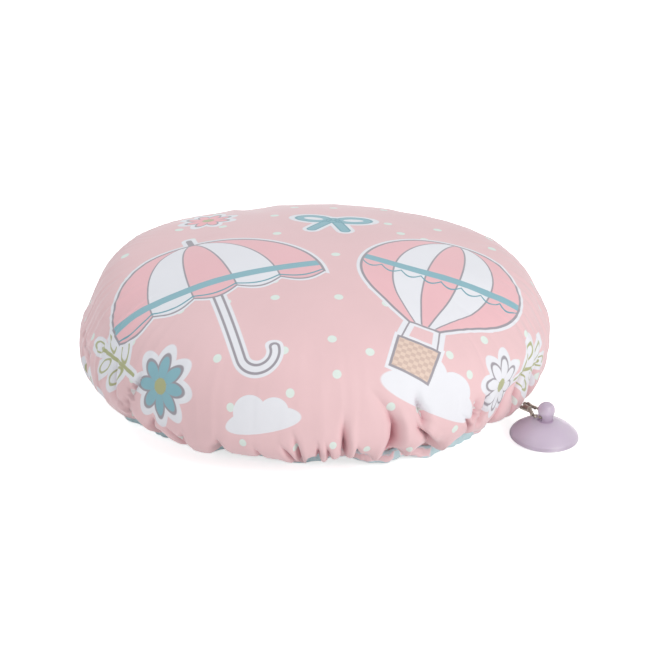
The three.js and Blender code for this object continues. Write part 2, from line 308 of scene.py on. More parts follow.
class Inked:
    """A number in a shader that Python can add, multiply and compare."""

    def __init__(self, tree, socket):
        self.tree, self.socket = tree, socket

    def _math(self, operation, *others):
        inputs = dict(enumerate((self, *others)))
        node = add_node(self.tree, "ShaderNodeMath", inputs, operation=operation)
        return Inked(self.tree, node.outputs[0])

    def __add__(self, other):
        return self._math("ADD", other)

    def __sub__(self, other):
        return self._math("SUBTRACT", other)

    def __mul__(self, other):
        return self._math("MULTIPLY", other)

    def __truediv__(self, other):
        return self._math("DIVIDE", other)

    def __rmul__(self, other):
        return self._math("MULTIPLY", other)

    def __rsub__(self, other):
        return self._math("MULTIPLY_ADD", -1, other)

    def __neg__(self):
        return self._math("MULTIPLY", -1)

    def __abs__(self):
        return self._math("ABSOLUTE")

    def least(self, other):
        return self._math("MINIMUM", other)

    def most(self, other):
        return self._math("MAXIMUM", other)

    def root(self):
        return self._math("SQRT")

    def sine(self):
        return self._math("SINE")

    def times_add(self, factor, extra):
        return self._math("MULTIPLY_ADD", factor, extra)

    def wrapped(self, low, high):
        return self._math("WRAP", high, low)

    def held(self, low=0.0, high=1.0):
        return self.most(low).least(high)


def length_of(x, y):
    return (x * x + y * y).root()


def disc(x, y, radius, at=(0, 0)):
    return length_of(x - at[0], y - at[1]) - radius


def oval(x, y, half_width, half_height, at=(0, 0)):
    """About the distance to an ellipse, true enough near its edge."""
    reach = length_of((x - at[0]) / half_width, (y - at[1]) / half_height) - 1
    return reach * min(half_width, half_height)


def stroke(x, y, start, end):
    """The distance to the middle of a straight stroke."""
    along = (end[0] - start[0], end[1] - start[1])
    squared = along[0] ** 2 + along[1] ** 2
    right, up = x - start[0], y - start[1]
    share = (right * (along[0] / squared) + up * (along[1] / squared)).held()
    return length_of(share.times_add(-along[0], right), share.times_add(-along[1], up))


def turned(x, y, degrees):
    """The point in a frame that is turned by an angle."""
    cosine, sine = math.cos(math.radians(degrees)), math.sin(math.radians(degrees))
    return x * cosine + y * sine, y * cosine - x * sine


EDGE = 0.35


def inside(distance, grow=0.0):
    """1 inside a shape that is grown by some millimetres, and 0 outside it."""
    return distance.times_add(-1 / EDGE, 0.5 + grow / EDGE).held()


class Print:
    """The colour of the cloth, painted over motif by motif."""

    def __init__(self, tree, base):
        self.tree, self.colour = tree, base

    def paint(self, mask, ink):
        self.colour = blended(self.tree, mask, self.colour, ink)


def linear(red, green, blue):
    """A colour as an eye reads it, from 0 to 255, as the shader wants it."""
    shares = [value / 255 for value in (red, green, blue)]
    return (*[s / 12.92 if s <= 0.04045 else ((s + 0.055) / 1.055) ** 2.4 for s in shares], 1.0)


PINK = linear(235, 200, 203)
PINK_DEEP = linear(240, 192, 198)
MILK = linear(236, 238, 244)
MINT = linear(226, 238, 232)
GREY = linear(160, 156, 164)
TEAL = linear(140, 186, 198)
TEAL_DEEP = linear(112, 166, 180)
OLIVE = linear(178, 182, 138)
BLUSH = linear(244, 176, 184)

# %% [markdown]
# The motifs. The cloth repeats every TILE millimetres in each direction, as a printed roll does, so a
# motif is drawn once and wraps round. X and Y are the flat cloth's own, with the crown's middle at zero.

# %% Motifs
TILE_X = 330.0
TILE_Y = 262.0
DOT_SPACING = 31
DOT_RADIUS = 2.6
DOT_SCATTER = 0.62
HALO = 2.6
LINE, THIN_LINE = 0.75, 0.45


def motif_frame(u, v, at, turn=0.0, scale=1.0):
    x = (u - at[0]).wrapped(-TILE_X / 2, TILE_X / 2)
    y = (v - at[1]).wrapped(-TILE_Y / 2, TILE_Y / 2)
    x, y = turned(x, y, turn)
    return (x, y) if scale == 1.0 else (x / scale, y / scale)


def paint_panels(cloth, x, width, shape, panels):
    """Pink panels on a white shape, with ribs between them that come together where the shape is narrow."""
    turns = math.pi * panels / 2
    wave = ((x / width) * turns + turns).sine() * width * (1 / turns)
    cloth.paint(inside(0.3 - wave) * inside(shape), PINK_DEEP)
    cloth.paint(inside(abs(wave), 0.5) * inside(shape, -1), GREY)


def draw_umbrella(cloth, u, v, at, turn):
    """An open umbrella: a striped dome with a frilled rim, a stick and a hooked handle."""
    radius, panels = 64.0, 5
    x, y = motif_frame(u, v, at, turn)
    stick = stroke(x, y, (0, 0), (0, -66))
    hook = length_of((length_of(x - 10, y + 66) - 10), (y + 66).most(0))
    handle = stick.least(hook) - 2.4
    tip = stroke(x, y, (0, radius), (0, radius + 9)) - 1.8
    panel = 2 * radius / panels
    scallop = (x * (math.pi / panel) + math.pi * panels / 2).sine()
    hem = -y - 4 + abs(scallop) * -6
    dome = disc(x, y, radius).most(hem)
    cloth.paint(inside(dome.least(handle).least(tip), HALO), MILK)
    cloth.paint(inside(handle), MILK)
    cloth.paint(inside(abs(handle), LINE), GREY)
    cloth.paint(inside(tip), GREY)
    cloth.paint(inside(dome), MILK)
    paint_panels(cloth, x, (radius ** 2 - y * y).most(1.0).root(), dome, panels)
    band = abs(y - 7) - 3.4
    cloth.paint(inside(band.most(dome)), TEAL)
    loops = abs(abs(scallop) * -4.2 - (y + 1.5)) - 0.7
    cloth.paint(inside(loops.most(dome)), TEAL_DEEP)
    cloth.paint(inside(abs(dome), LINE), GREY)


def draw_balloon(cloth, u, v, at, turn):
    """A hot-air balloon: a striped envelope with a frilled belt, ropes and a basket."""
    radius, panels = 48.0, 5
    slope, neck = 0.75, 56
    lean = math.sqrt(1 - slope ** 2)
    x, y = motif_frame(u, v, at, turn)
    cone = abs(x) * lean - y * slope - radius
    envelope = disc(x, y, radius).least(cone.most(y + slope * radius).most(-y - neck))
    ropes = stroke(abs(x), y, (9, -neck), (11, -72))
    basket = (abs(x) - 11).most(abs(y + 81) - 9) - 1.5
    cloth.paint(inside(envelope.least(basket).least(ropes - 1), HALO), MILK)
    cloth.paint(inside(ropes, 0.5), GREY)
    cloth.paint(inside(basket), linear(228, 206, 192))
    weave = (y * 1.4).sine() * (x * 1.1).sine()
    cloth.paint(inside(basket) * inside(weave), linear(212, 188, 176))
    cloth.paint(inside(abs(basket), LINE), GREY)
    cloth.paint(inside(envelope), MILK)
    globe_width = (radius ** 2 - y * y).most(1.0).root()
    cone_width = ((y * slope + radius) * (1 / lean)).most(1.0)
    width = globe_width + (cone_width - globe_width) * (-y - slope * radius).held()
    paint_panels(cloth, x, width, envelope, panels)
    sag = y + 4 - (x * x) * 0.0035
    cloth.paint(inside((abs(sag) - 3.2).most(envelope)), TEAL)
    scallop = abs((x * (math.pi / 12)).sine()) * -4.5 - (sag + 5)
    cloth.paint(inside((abs(scallop) - 0.7).most(envelope)), TEAL_DEEP)
    cloth.paint(inside(abs(envelope), LINE), GREY)


def draw_cloud(cloth, u, v, at, scale):
    """A soft white cloud."""
    x, y = motif_frame(u, v, at, 0, scale)
    puffs = oval(x, y, 30, 9).least(oval(x, y, 13, 12, (-8, 6))).least(oval(x, y, 11, 9, (10, 5)))
    cloth.paint(inside(puffs), MILK)


def four_petals(x, y):
    return oval(abs(x).most(abs(y)) - 8, abs(x).least(abs(y)), 6, 3.1)


def draw_daisy(cloth, u, v, at, turn, petal_ink, scale):
    """An eight-petalled daisy with a round middle."""
    x, y = motif_frame(u, v, at, turn, scale)
    petals = four_petals(x, y).least(four_petals(*turned(x, y, 45)))
    cloth.paint(inside(petals, HALO), MILK)
    cloth.paint(inside(petals), petal_ink)
    cloth.paint(inside(abs(petals), THIN_LINE), GREY)
    cloth.paint(inside(length_of(x, y) - 3.6), OLIVE)


def draw_sprig(cloth, u, v, at, turn, scale):
    """A leafy sprig, drawn in olive outline."""
    x, y = motif_frame(u, v, at, turn, scale)
    stem = stroke(x, y, (0, -22), (0, 16)) - 0.6
    side = abs(x)
    low_x, low_y = turned(side - 8, y + 6, 40)
    high_x, high_y = turned(side - 7, y - 7, 50)
    leaves = oval(low_x, low_y, 8, 3).least(oval(high_x, high_y, 7, 2.6)).least(oval(x, y, 2.8, 6, (0, 19)))
    cloth.paint(inside(leaves.least(stem), HALO), MILK)
    cloth.paint(inside(abs(leaves).least(stem), THIN_LINE), OLIVE)


def draw_bow(cloth, u, v, at, turn, scale):
    """A ribbon bow."""
    x, y = motif_frame(u, v, at, turn, scale)
    side = abs(x)
    loop_x, loop_y = turned(side - 11, y - 2, 12)
    tail = stroke(side, y, (2, -2), (9, -17)) - 2.6
    loop = oval(loop_x, loop_y, 10, 6.4)
    knot = oval(x, y, 3.6, 4.2)
    bow = loop.least(knot).least(tail)
    cloth.paint(inside(bow, HALO), MILK)
    cloth.paint(inside(bow), TEAL)
    cloth.paint(inside(oval(loop_x, loop_y, 5.5, 2.4)), MILK)
    seams = abs(knot).least(abs(loop)).least(abs(tail))
    cloth.paint(inside(seams, THIN_LINE) * inside(bow, 0.6), TEAL_DEEP)


def draw_dots(cloth, tree, flat):
    """Scattered dots: the middle of each cell of a loose net."""
    inputs = {"Vector": flat, "Scale": 1 / DOT_SPACING, "Randomness": DOT_SCATTER}
    cells = add_node(tree, "ShaderNodeTexVoronoi", inputs, voronoi_dimensions="2D")
    reach = Inked(tree, cells.outputs["Distance"])
    cloth.paint(inside(reach * DOT_SPACING - DOT_RADIUS), MINT)


# What is printed after the dots, in order: the motif, its middle in mm, and what else its function takes.
MOTIFS = [
    (draw_cloud, (74, -136), 1.2),
    (draw_cloud, (-34, -160), 0.85),
    (draw_sprig, (-126, -84), 30, 1.1),
    (draw_umbrella, (-58, -60), 14),
    (draw_balloon, (74, -40), -12),
    (draw_daisy, (-96, -122), 10, TEAL, 1.3),
    (draw_daisy, (124, -106), 30, MILK, 1.2),
    (draw_sprig, (150, -70), -28, 1.1),
    (draw_bow, (10, 34), -8, 1.1),
    (draw_daisy, (-66, 52), 20, BLUSH, 1.0),
]


def draw_print(tree, base):
    """The whole printed cloth, from the UV map in metres. Returns the colour's socket."""
    inputs = {0: uv_place(tree, "cloth"), "Scale": 1 / MM}
    flat = add_node(tree, "ShaderNodeVectorMath", inputs, operation="SCALE").outputs[0]
    u, v = parts_of(tree, flat)
    cloth = Print(tree, base)
    draw_dots(cloth, tree, flat)
    for draw, *settings in MOTIFS:
        draw(cloth, u, v, *settings)
    return cloth.colour


# %% [markdown]
# The cap's cloth. Its outline in a half plane is the solid model's: a quarter of a superellipse up to the
# equator, one that curls in under it, and a short leg into the binding. The cloth was cut as a flat disc,
# so the length along that outline is also its radius on the flat disc, which is where the print's UV map
# comes from.

# %% Outline
shell_low, shell_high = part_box("outer_shell")
CROWN_RADIUS = 140 * MM
EQUATOR = 39 * MM
CROWN_TOP = shell_high.z
LEG_RADIUS = 104.3 * MM
TURN_HEIGHT = 10.5 * MM
CROWN_POWER = 2 / 2.35
UNDER_POWER = 2 / 2.6
LEG_FOOT = shell_low.z
QUARTER_POINTS, LEG_POINTS = 400, 20
OUTLINE_STEP = 1.5 * MM


def meridian():
    """Closely spaced points [radius, height] from the crown's top to the foot, and their lengths along."""
    angle = np.linspace(0, math.pi / 2, QUARTER_POINTS)
    sine, cosine = np.sin(angle), np.clip(np.cos(angle), 0, 1)
    crown = np.stack([CROWN_RADIUS * sine ** CROWN_POWER,
                      EQUATOR + (CROWN_TOP - EQUATOR) * cosine ** CROWN_POWER], axis=1)
    under = np.stack([LEG_RADIUS + (CROWN_RADIUS - LEG_RADIUS) * cosine ** UNDER_POWER,
                      EQUATOR - (EQUATOR - TURN_HEIGHT) * sine ** UNDER_POWER], axis=1)
    leg = np.stack([np.full(LEG_POINTS, LEG_RADIUS), np.linspace(TURN_HEIGHT, LEG_FOOT, LEG_POINTS)], axis=1)
    points = np.concatenate([crown, under[1:], leg[1:]])
    return points, np.concatenate([[0], np.cumsum(np.linalg.norm(np.diff(points, axis=0), axis=1))])


OUTLINE, OUTLINE_LENGTH = meridian()
CLOTH_RADIUS = OUTLINE_LENGTH[-1]
EQUATOR_LENGTH = OUTLINE_LENGTH[QUARTER_POINTS - 1]
TURN_LENGTH = OUTLINE_LENGTH[2 * QUARTER_POINTS - 2]
print("cloth's flat radius", round(CLOTH_RADIUS, 4), "equator at", round(EQUATOR_LENGTH, 4))


def outline_place(length):
    return [np.interp(length, OUTLINE_LENGTH, OUTLINE[:, axis]) for axis in (0, 1)]


def outline_at(length):
    """Radius, height and outward direction at a length along the outline."""
    radius, height = outline_place(length)
    before = outline_place(np.clip(length - OUTLINE_STEP, 0, None))
    after = outline_place(np.clip(length + OUTLINE_STEP, None, CLOTH_RADIUS))
    run, drop = after[0] - before[0], after[1] - before[1]
    size = np.hypot(run, drop)
    return radius, height, -drop / size, run / size


# %% [markdown]
# Gathers. The elastic draws the hem in, so the cloth folds. Each crease is a valley that starts somewhere
# up the side and deepens towards the hem, with a ridge on one flank where the cloth rolls over. The
# creases named in SEEN_CREASES are those that the photograph shows, and the rest are scattered with a
# fixed seed. Between creases the cloth hangs over the hem as lobes, and in the gaps between lobes the
# hem's tape shows.

# %% Gathers
# Each seen crease: its path as pairs of mm up from the hem and degrees round the cap, from its top down,
# and then its depth and width in mm, and the share of it that comes back as a ridge, on the side that its
# sign says.
SEEN_CREASES = [
    ([(66, -83.4), (54, -83.6), (39, -83.2), (20, -83.0)], 5.0, 2.6, 0.35),
    ([(78, -78.4), (62, -73.8), (51, -71.6), (40, -71.4), (18, -73)], 5.6, 4.2, 0.45),
    ([(72, -67.2), (61, -66.0), (52, -64.6)], 2.6, 2.2, 0.5),
    ([(56, -67.4), (46, -65.6), (38, -62.8), (22, -59.4)], 6.2, 2.6, 0.6),
    ([(50, -54.6), (42, -51.6), (34, -50.0), (24, -50.6)], 6.0, 2.2, -0.6),
    ([(63, -43.8), (56, -45.1), (48, -46.3), (38, -47.2)], 3.2, 1.8, 0.5),
    ([(60, -49.8), (52, -49.4), (45, -49.4)], 2.0, 2.6, 0.3),
    ([(54, -31.2), (46, -34.0), (38, -36.2), (22, -38)], 6.4, 3.0, 0.4),
    ([(74, -25.0), (58, -27.4), (40, -30.0), (22, -30)], 4.0, 2.6, 0.4),
    ([(50, -146.0), (43, -141.8), (36, -138.8), (24, -137)], 6.0, 2.4, -0.6),
    ([(70, -144.4), (60, -144.2), (52, -144.0)], 2.4, 2.0, 0.4),
    ([(72, -134.2), (63, -135.2), (52, -137.6), (46, -139)], 2.6, 1.6, 0.4),
    ([(50, -128.6), (42, -131.0), (32, -133.4), (20, -134)], 5.2, 2.2, 0.5),
    ([(44, -128.4), (34, -125.4), (22, -124.6)], 4.6, 2.0, -0.5),
    ([(45, -122.0), (32, -123.4), (20, -123)], 3.2, 1.8, 0.4),
    ([(44, -113.4), (34, -113.4), (20, -113.6)], 4.4, 2.2, 0.3),
    ([(42, -104.4), (30, -103.6), (18, -103.6)], 2.6, 2.0, 0.4),
    ([(52, -95.2), (42, -94.2), (24, -93.4)], 3.4, 1.7, 0.5),
    ([(44, -98.2), (34, -96.4), (24, -94.8)], 2.8, 1.6, -0.4),
    ([(47, -89.6), (34, -89.2), (20, -89.2)], 3.6, 1.7, 0.4),
    ([(47, -88.0), (36, -87.0), (22, -86.4)], 2.6, 1.5, -0.4),
    ([(44, -80.6), (34, -80.0), (22, -79.6)], 2.6, 1.6, 0.4),
    ([(66, -178.0), (62, -168.0), (58, -160.0)], 2.6, 3.0, 0.3),
    ([(56, -154.0), (44, -152.6), (26, -151)], 4.6, 2.8, 0.4),
    ([(60, -166.0), (44, -163.6), (26, -162)], 5.0, 3.0, -0.4),
    ([(52, -175.0), (40, -173.0), (24, -172)], 4.0, 2.6, 0.4),
    ([(62, -19.0), (46, -20.4), (26, -21)], 5.0, 3.0, 0.4),
    ([(50, -11.0), (38, -11.6), (24, -12)], 4.2, 2.6, -0.4),
    ([(64, -3.0), (48, -3.6), (26, -4)], 5.2, 3.0, 0.4),
]
# Gaps between lobes, where the tape shows: degrees round, half width in degrees, and how far each is open.
SEEN_GAPS = [
    (-158.5, 5, 1.2), (-142.5, 4.5, 1.5), (-132, 2.8, 1.4), (-114.2, 1.9, 1.3), (-91, 1.2, 0.8),
    (-78.2, 1.9, 0.9), (-69.6, 2.4, 1.0), (-61.6, 4.2, 1.0), (-49, 5.5, 0.55), (-40, 3.0, 0.8), (-12, 3, 0.5),
]
# How far the lobes hang down, in mm, at degrees round the front. Round the back it is the last number.
SEEN_DROOP = [
    (-180, 2), (-165, 0.5), (-155, 0), (-140, 0), (-136.5, 2.5), (-134, 0), (-129.5, 0), (-126, 1.5),
    (-120, 4.5), (-116.5, 2.5), (-114, 0), (-106, 0), (-98, 0.5), (-94.5, 5), (-91, 4), (-88, 2), (-85, 0.8),
    (-82, 0.4), (-79, 0.5), (-77, 1), (-74.5, 4), (-72, 0.5), (-70, 0), (-67.3, 5), (-65, 1), (-62, 0),
    (-56, 2.5), (-52, 1), (-47, 1), (-38, 0), (-33, 0), (-27, 3), (-20, 2), (-8, 3), (0, 4),
]
# The hem at rest isn't quite round or flat: how far out of its circle it lies, and how far off the floor,
# in mm, at degrees round.
HEM_SHAPE = [
    (-180, 7), (-168, 12), (-158, 14), (-154, 8), (-150, 6.5), (-142, 5), (-130, 2), (-120, 1.5), (-112, -1),
    (-104, -1), (-96, 0), (-91, 1), (-88, 0), (-83, -1), (-79, 2), (-74, 7), (-68, 9), (-64, 5), (-60, 8),
    (-57, 10), (-53, 10), (-48, 9), (-42, 7), (-36, 7), (-31, 8), (-25, 4), (-18, 1), (-12, 0), (10, 0),
    (30, 2), (90, 2), (150, 4), (180, 7),
]
HEM_LIFT = [
    (-180, 0), (-142, 0), (-137, 2), (-134, 3), (-131, 1.5), (-128, 0), (-124, 0), (-121, 3), (-118, 4.5),
    (-115, 4), (-109, 3), (-102, 2.2), (-97, 1), (-95, 0.3), (-92, 2.4), (-88, 2.2), (-85, 4.5), (-80, 5),
    (-78, 4), (-76, 2.6), (-73, 2.2), (-68, 1.5), (-65, 3), (-61, 2.6), (-58, 0), (-55, 0), (-52, 2),
    (-50, 2.2), (-47, 1), (-44, 0), (20, 0), (40, 2), (60, 0.5), (85, 3), (100, 0.5), (125, 2.5), (145, 0.5),
    (165, 1.5), (180, 0),
]
CREASE_GAIN = 1.3
CREASE_WIDTH, CREASE_ROUNDING = 0.66, 0.4
# Down its path a crease deepens over this share of it, and fades out over END_FADE mm where it ends higher
# up than LONG_FOOT.
DEEPENING, LONG_FOOT, END_FADE = 0.75, 30, 10
RIDGE_OUT, RIDGE_SPREAD = 2.3, 1.6
SLIT_SHARE = 0.9
SLIT_WIDTH = 1.1 * MM
LOW_SHARE = 0.28
LOW_WIDTH, FULL_WIDTH_UP = 0.6, 28
TOP_WIDENING = 0.7
# Where creases and ridges rise to their full size, up from the hem: a start and a run in mm.
FOOT_EDGE, DEPTH_ZONE, RIDGE_ZONE = (-2, 12), (12, 30), (25.2, 28)
# Round the back: how many creases and gaps, from which degree on, and over how many.
HIDDEN_CREASES, CREASES_FROM, CREASES_OVER = 22, 3, 172
HIDDEN_GAPS, GAPS_FROM, GAPS_OVER = 9, 6, 168
RUFFLES = 78
PUCKERS = 104
LOBE_ROUNDING = 9


def hidden_folds():
    """Creases and gaps round the back, where the photograph shows none, with a fixed seed."""
    dice = random.Random(11)
    creases, gaps = [], []
    step = CREASES_OVER / HIDDEN_CREASES
    for number in range(HIDDEN_CREASES):
        angle = CREASES_FROM + (number + 0.5) * step + dice.uniform(-0.3, 0.3) * step
        top = dice.uniform(44, 74)
        lean = dice.uniform(-4, 4)
        path = [(top, angle + lean), (0.5 * (top + 24), angle + 0.35 * lean), (22, angle)]
        creases.append((path, dice.uniform(3, 6.2), dice.uniform(1.7, 3.6), dice.choice((-0.5, 0.4, 0.5))))
    for number in range(HIDDEN_GAPS):
        angle = GAPS_FROM + (number + 0.5) * GAPS_OVER / HIDDEN_GAPS + dice.uniform(-5, 5)
        gaps.append((angle, dice.uniform(1.6, 4.2), dice.uniform(0.5, 1)))
    return creases, gaps


MORE_CREASES, MORE_GAPS = hidden_folds()
CREASES = SEEN_CREASES + MORE_CREASES
GAPS = SEEN_GAPS + MORE_GAPS


def uneven_pleats(count, seed):
    """Pleats of uneven width and size all the way round: where each ends, and how large it is."""
    dice = np.random.default_rng(seed)
    ends = np.concatenate([[0], np.cumsum(dice.uniform(0.55, 1.45, count))])
    sizes = dice.uniform(0.35, 1.0, count + 1)
    sizes[-1] = sizes[0]
    return ends * (2 * math.pi / ends[-1]), sizes


HEM_PLEATS = uneven_pleats(RUFFLES, 5)
SIDE_PUCKERS = uneven_pleats(PUCKERS, 8)


def smooth_step(value):
    value = np.clip(value, 0, 1)
    return value * value * (3 - 2 * value)


def rise(value, start, run):
    """A smooth step from 0 at a start in mm up to 1 a run of mm further on. The value is in metres."""
    return smooth_step((value / MM - start) / run)


def bump_at(value, middle, spread):
    return np.exp(-(((value - middle) / spread) ** 2))


def valley_at(aside, rounding):
    """1 in the middle, falling off to both sides from a tip that is rounded a little."""
    return np.exp(rounding - np.hypot(aside, rounding))


def turn_between(angle, degrees):
    """The signed turn from some degrees to each angle, in radians."""
    return np.angle(np.exp(1j * (angle - np.radians(degrees))))


def ruffle(angle, pleats=HEM_PLEATS):
    """Small pleats of uneven width, from -1 to 1."""
    ends, sizes = pleats
    turn = np.mod(angle, 2 * math.pi)
    count = np.interp(turn, ends, np.arange(len(ends)))
    return np.cos(2 * math.pi * count) * np.interp(turn, ends, sizes)


def crease_field(angle, up, radius, spread=1.0):
    """How deep the cloth is drawn in, in metres, and how much of a crease it is, from 0 to 1. A spread over
    1 widens the creases and leaves their ridges out, for a layer that lies under them."""
    depth = np.zeros_like(angle)
    crease = np.zeros_like(angle)
    low_width = LOW_WIDTH + (1 - LOW_WIDTH) * rise(up, 0, FULL_WIDTH_UP)
    low_share = LOW_SHARE + (1 - LOW_SHARE) * rise(up, *DEPTH_ZONE)
    for path, most, width, roll in CREASES:
        heights, bearings = np.array(path)[::-1].T
        top, low = heights[-1], heights[0]
        share = rise(up, top, -DEEPENING * (top - low)) * rise(up, *FOOT_EDGE)
        if low > LONG_FOOT:
            share = share * rise(up, low - END_FADE, END_FADE)
        off = turn_between(angle, np.interp(up / MM, heights, bearings)) * radius / spread
        aside = off / (CREASE_WIDTH * width * MM * low_width)
        aside = aside / (1 + TOP_WIDENING * rise(up, 0.5 * (top + low), top - low))
        valley = valley_at(aside, CREASE_ROUNDING)
        ridge = 0
        if spread == 1.0:
            flank = np.exp(-((abs(aside) - RIDGE_OUT) ** 2) / RIDGE_SPREAD) * (aside * roll > 0)
            ridge = abs(roll) * flank * rise(up, *RIDGE_ZONE)
        slit = bump_at(off, 0, SLIT_WIDTH)
        depth += CREASE_GAIN * most * MM * share * low_share * (valley - ridge)
        depth += SLIT_SHARE * most * MM * share**2 * 0.5 * (1 + low_share) * slit
        crease = np.maximum(crease, share * valley)
    return depth, crease


def around(table, angle, blur):
    """A table of degrees and mm, read at each angle in metres, and smoothed over some degrees each way."""
    degrees, values = zip(*table)
    turns = np.arange(-180, 180, 1.0)
    rough = np.interp(turns, degrees, values)
    smooth = sum(np.roll(rough, shift) for shift in range(-blur, blur + 1)) / (2 * blur + 1)
    return np.interp(np.degrees(np.angle(np.exp(1j * angle))), turns, smooth, period=360) * MM


def hem_reach(angle):
    """How far out of its circle the hem lies."""
    return around(HEM_SHAPE, angle, 3)


def hem_lift(angle):
    """How far the hem is off the floor."""
    return around(HEM_LIFT, angle, 1)


def gap_field(angle):
    """1 in the middle of a gap between lobes, and 0 on a lobe."""
    gap = np.zeros_like(angle)
    for degrees, half_width, most in GAPS:
        aside = turn_between(angle, degrees) / math.radians(half_width)
        gap = np.maximum(gap, most * np.exp(-(aside**4)))
    return gap


def droop_table():
    """How far the cloth hangs, in metres, each half degree round: less in gaps, and rounded between them."""
    turns = np.radians(np.arange(-180, 180, 0.5))
    start, end = SEEN_DROOP[0][1], SEEN_DROOP[-1][1]
    bearings, drops = zip(*SEEN_DROOP, (12, end), (168, end), (180, start))
    hang = np.interp(np.degrees(turns), bearings, drops) * MM * (1 - gap_field(turns))
    window = np.hanning(LOBE_ROUNDING)
    wrapped = np.concatenate([hang[-LOBE_ROUNDING:], hang, hang[:LOBE_ROUNDING]])
    smooth = np.convolve(wrapped, window / window.sum(), mode="same")[LOBE_ROUNDING:-LOBE_ROUNDING]
    return turns, smooth


DROOP_TURNS, DROOP = droop_table()


def droop_field(angle):
    """How far the cloth hangs over the hem at an angle, in metres."""
    return np.interp(np.angle(np.exp(1j * angle)), DROOP_TURNS, DROOP, period=2 * math.pi)


# %% [markdown]
# Every layer of the cap follows one surface: the outline, with soft dents and swells in the crown, pushed
# in by the creases and down by the cloth's own weight where a lobe hangs over the hem. A layer is that
# surface moved in by some depth.

# %% Cap surface
# Soft swells of the crown: degrees round, mm from the crown's middle, how far out in mm, and the spreads in
# degrees and mm. The first six shape the outline that the photograph shows.
SWELLS = [
    (160, 114, 6.4, 28, 22), (180, 147, -2.6, 34, 12), (0, 146, -2.6, 34, 12), (12, 116, 2.6, 24, 20),
    (-34, 176, -6.5, 13, 15), (-14, 172, -3.0, 18, 14), (-100, 120, 1.4, 26, 24), (-60, 90, -1.6, 22, 18),
    (60, 150, 2.0, 24, 18), (100, 120, -1.8, 20, 20), (-150, 100, -1.4, 16, 20), (30, 100, 1.4, 18, 18),
    (135, 165, 1.8, 20, 14),
]
LOBE_PUFF = 1.2 * MM
RUFFLE_DEPTH = 1.3 * MM
LEG_RUFFLE = 0.7 * MM
PUCKER_DEPTH = 0.8 * MM
CRINKLES, CRINKLE_ROUNDING = 70, 0.35
CALM_FRONT, CALM_SHARE = (-142, -40), 0.75
DROOP_MIDDLE, DROOP_SPREAD = 21 * MM, 13 * MM
DROOP_IN_CREASE, PLEAT_HANG = 0.6, 0.14
GAP_LIFT, GAP_MIDDLE, GAP_SPREAD = 6 * MM, 16 * MM, 13 * MM
LEG_GAP, FLOOR_GAP = 0.2 * MM, 1.2 * MM
# Zones up the cloth from the hem's turn, for rise(): where each starts in mm, and its run, which is less
# than 0 where the zone lies below its start.
REACH_ZONE, PUFF_ZONE, HEM_ZONE, LEG_ZONE = (36, -36), (70, -70), (30, -30), (0, -3)
RUFFLE_EDGE, PUSH_EDGE, HANG_EDGE = (-1, 8), (-2, 7), (-1, 9)
PUCKER_FOOT, PUCKER_TOP = (16, 30), (128, -70)
# The smooth front: degrees round its middle and to each side, and the share of the puckers it takes away.
SMOOTH_MIDDLE, SMOOTH_HALF, SMOOTHING = -96, 52, 0.85


def swell_field(angle, length):
    swell = np.zeros_like(angle)
    for degrees, middle, most, turn_spread, spread in SWELLS:
        sideways = bump_at(turn_between(angle, degrees), 0, math.radians(turn_spread))
        swell += most * MM * sideways * bump_at(length, middle * MM, spread * MM)
    return swell


def shoulder_crinkles():
    """Short upright crinkles round the crown's shoulder, with a fixed seed: degrees, mm from the middle, how
    far out, and half the width and length in mm. There are fewer in front, where the cloth is smooth."""
    dice = random.Random(23)
    crinkles = []
    while len(crinkles) < CRINKLES:
        degrees = dice.uniform(-180, 180)
        if CALM_FRONT[0] < degrees < CALM_FRONT[1] and dice.random() < CALM_SHARE:
            continue
        crinkles.append((degrees, dice.uniform(84, 150), dice.uniform(-1.1, 0.9), dice.uniform(4, 9),
                         dice.uniform(12, 26)))
    return crinkles


SHOULDER_CRINKLES = shoulder_crinkles()


def crinkle_field(angle, length):
    push = np.zeros_like(angle)
    for degrees, middle, most, half_width, half_length in SHOULDER_CRINKLES:
        along = rise(abs(length - middle * MM), half_length, -half_length)
        across = turn_between(angle, degrees) * length / (half_width * MM)
        push += most * MM * along * valley_at(across, CRINKLE_ROUNDING)
    return push


def pucker_field(angle, up):
    """Soft upright ripples at the sides and the back. The front is smooth."""
    calm = np.exp(-((turn_between(angle, SMOOTH_MIDDLE) / math.radians(SMOOTH_HALF)) ** 4))
    zone = rise(up, *PUCKER_FOOT) * rise(up, *PUCKER_TOP)
    return PUCKER_DEPTH * zone * (1 - SMOOTHING * calm) * ruffle(angle, SIDE_PUCKERS)


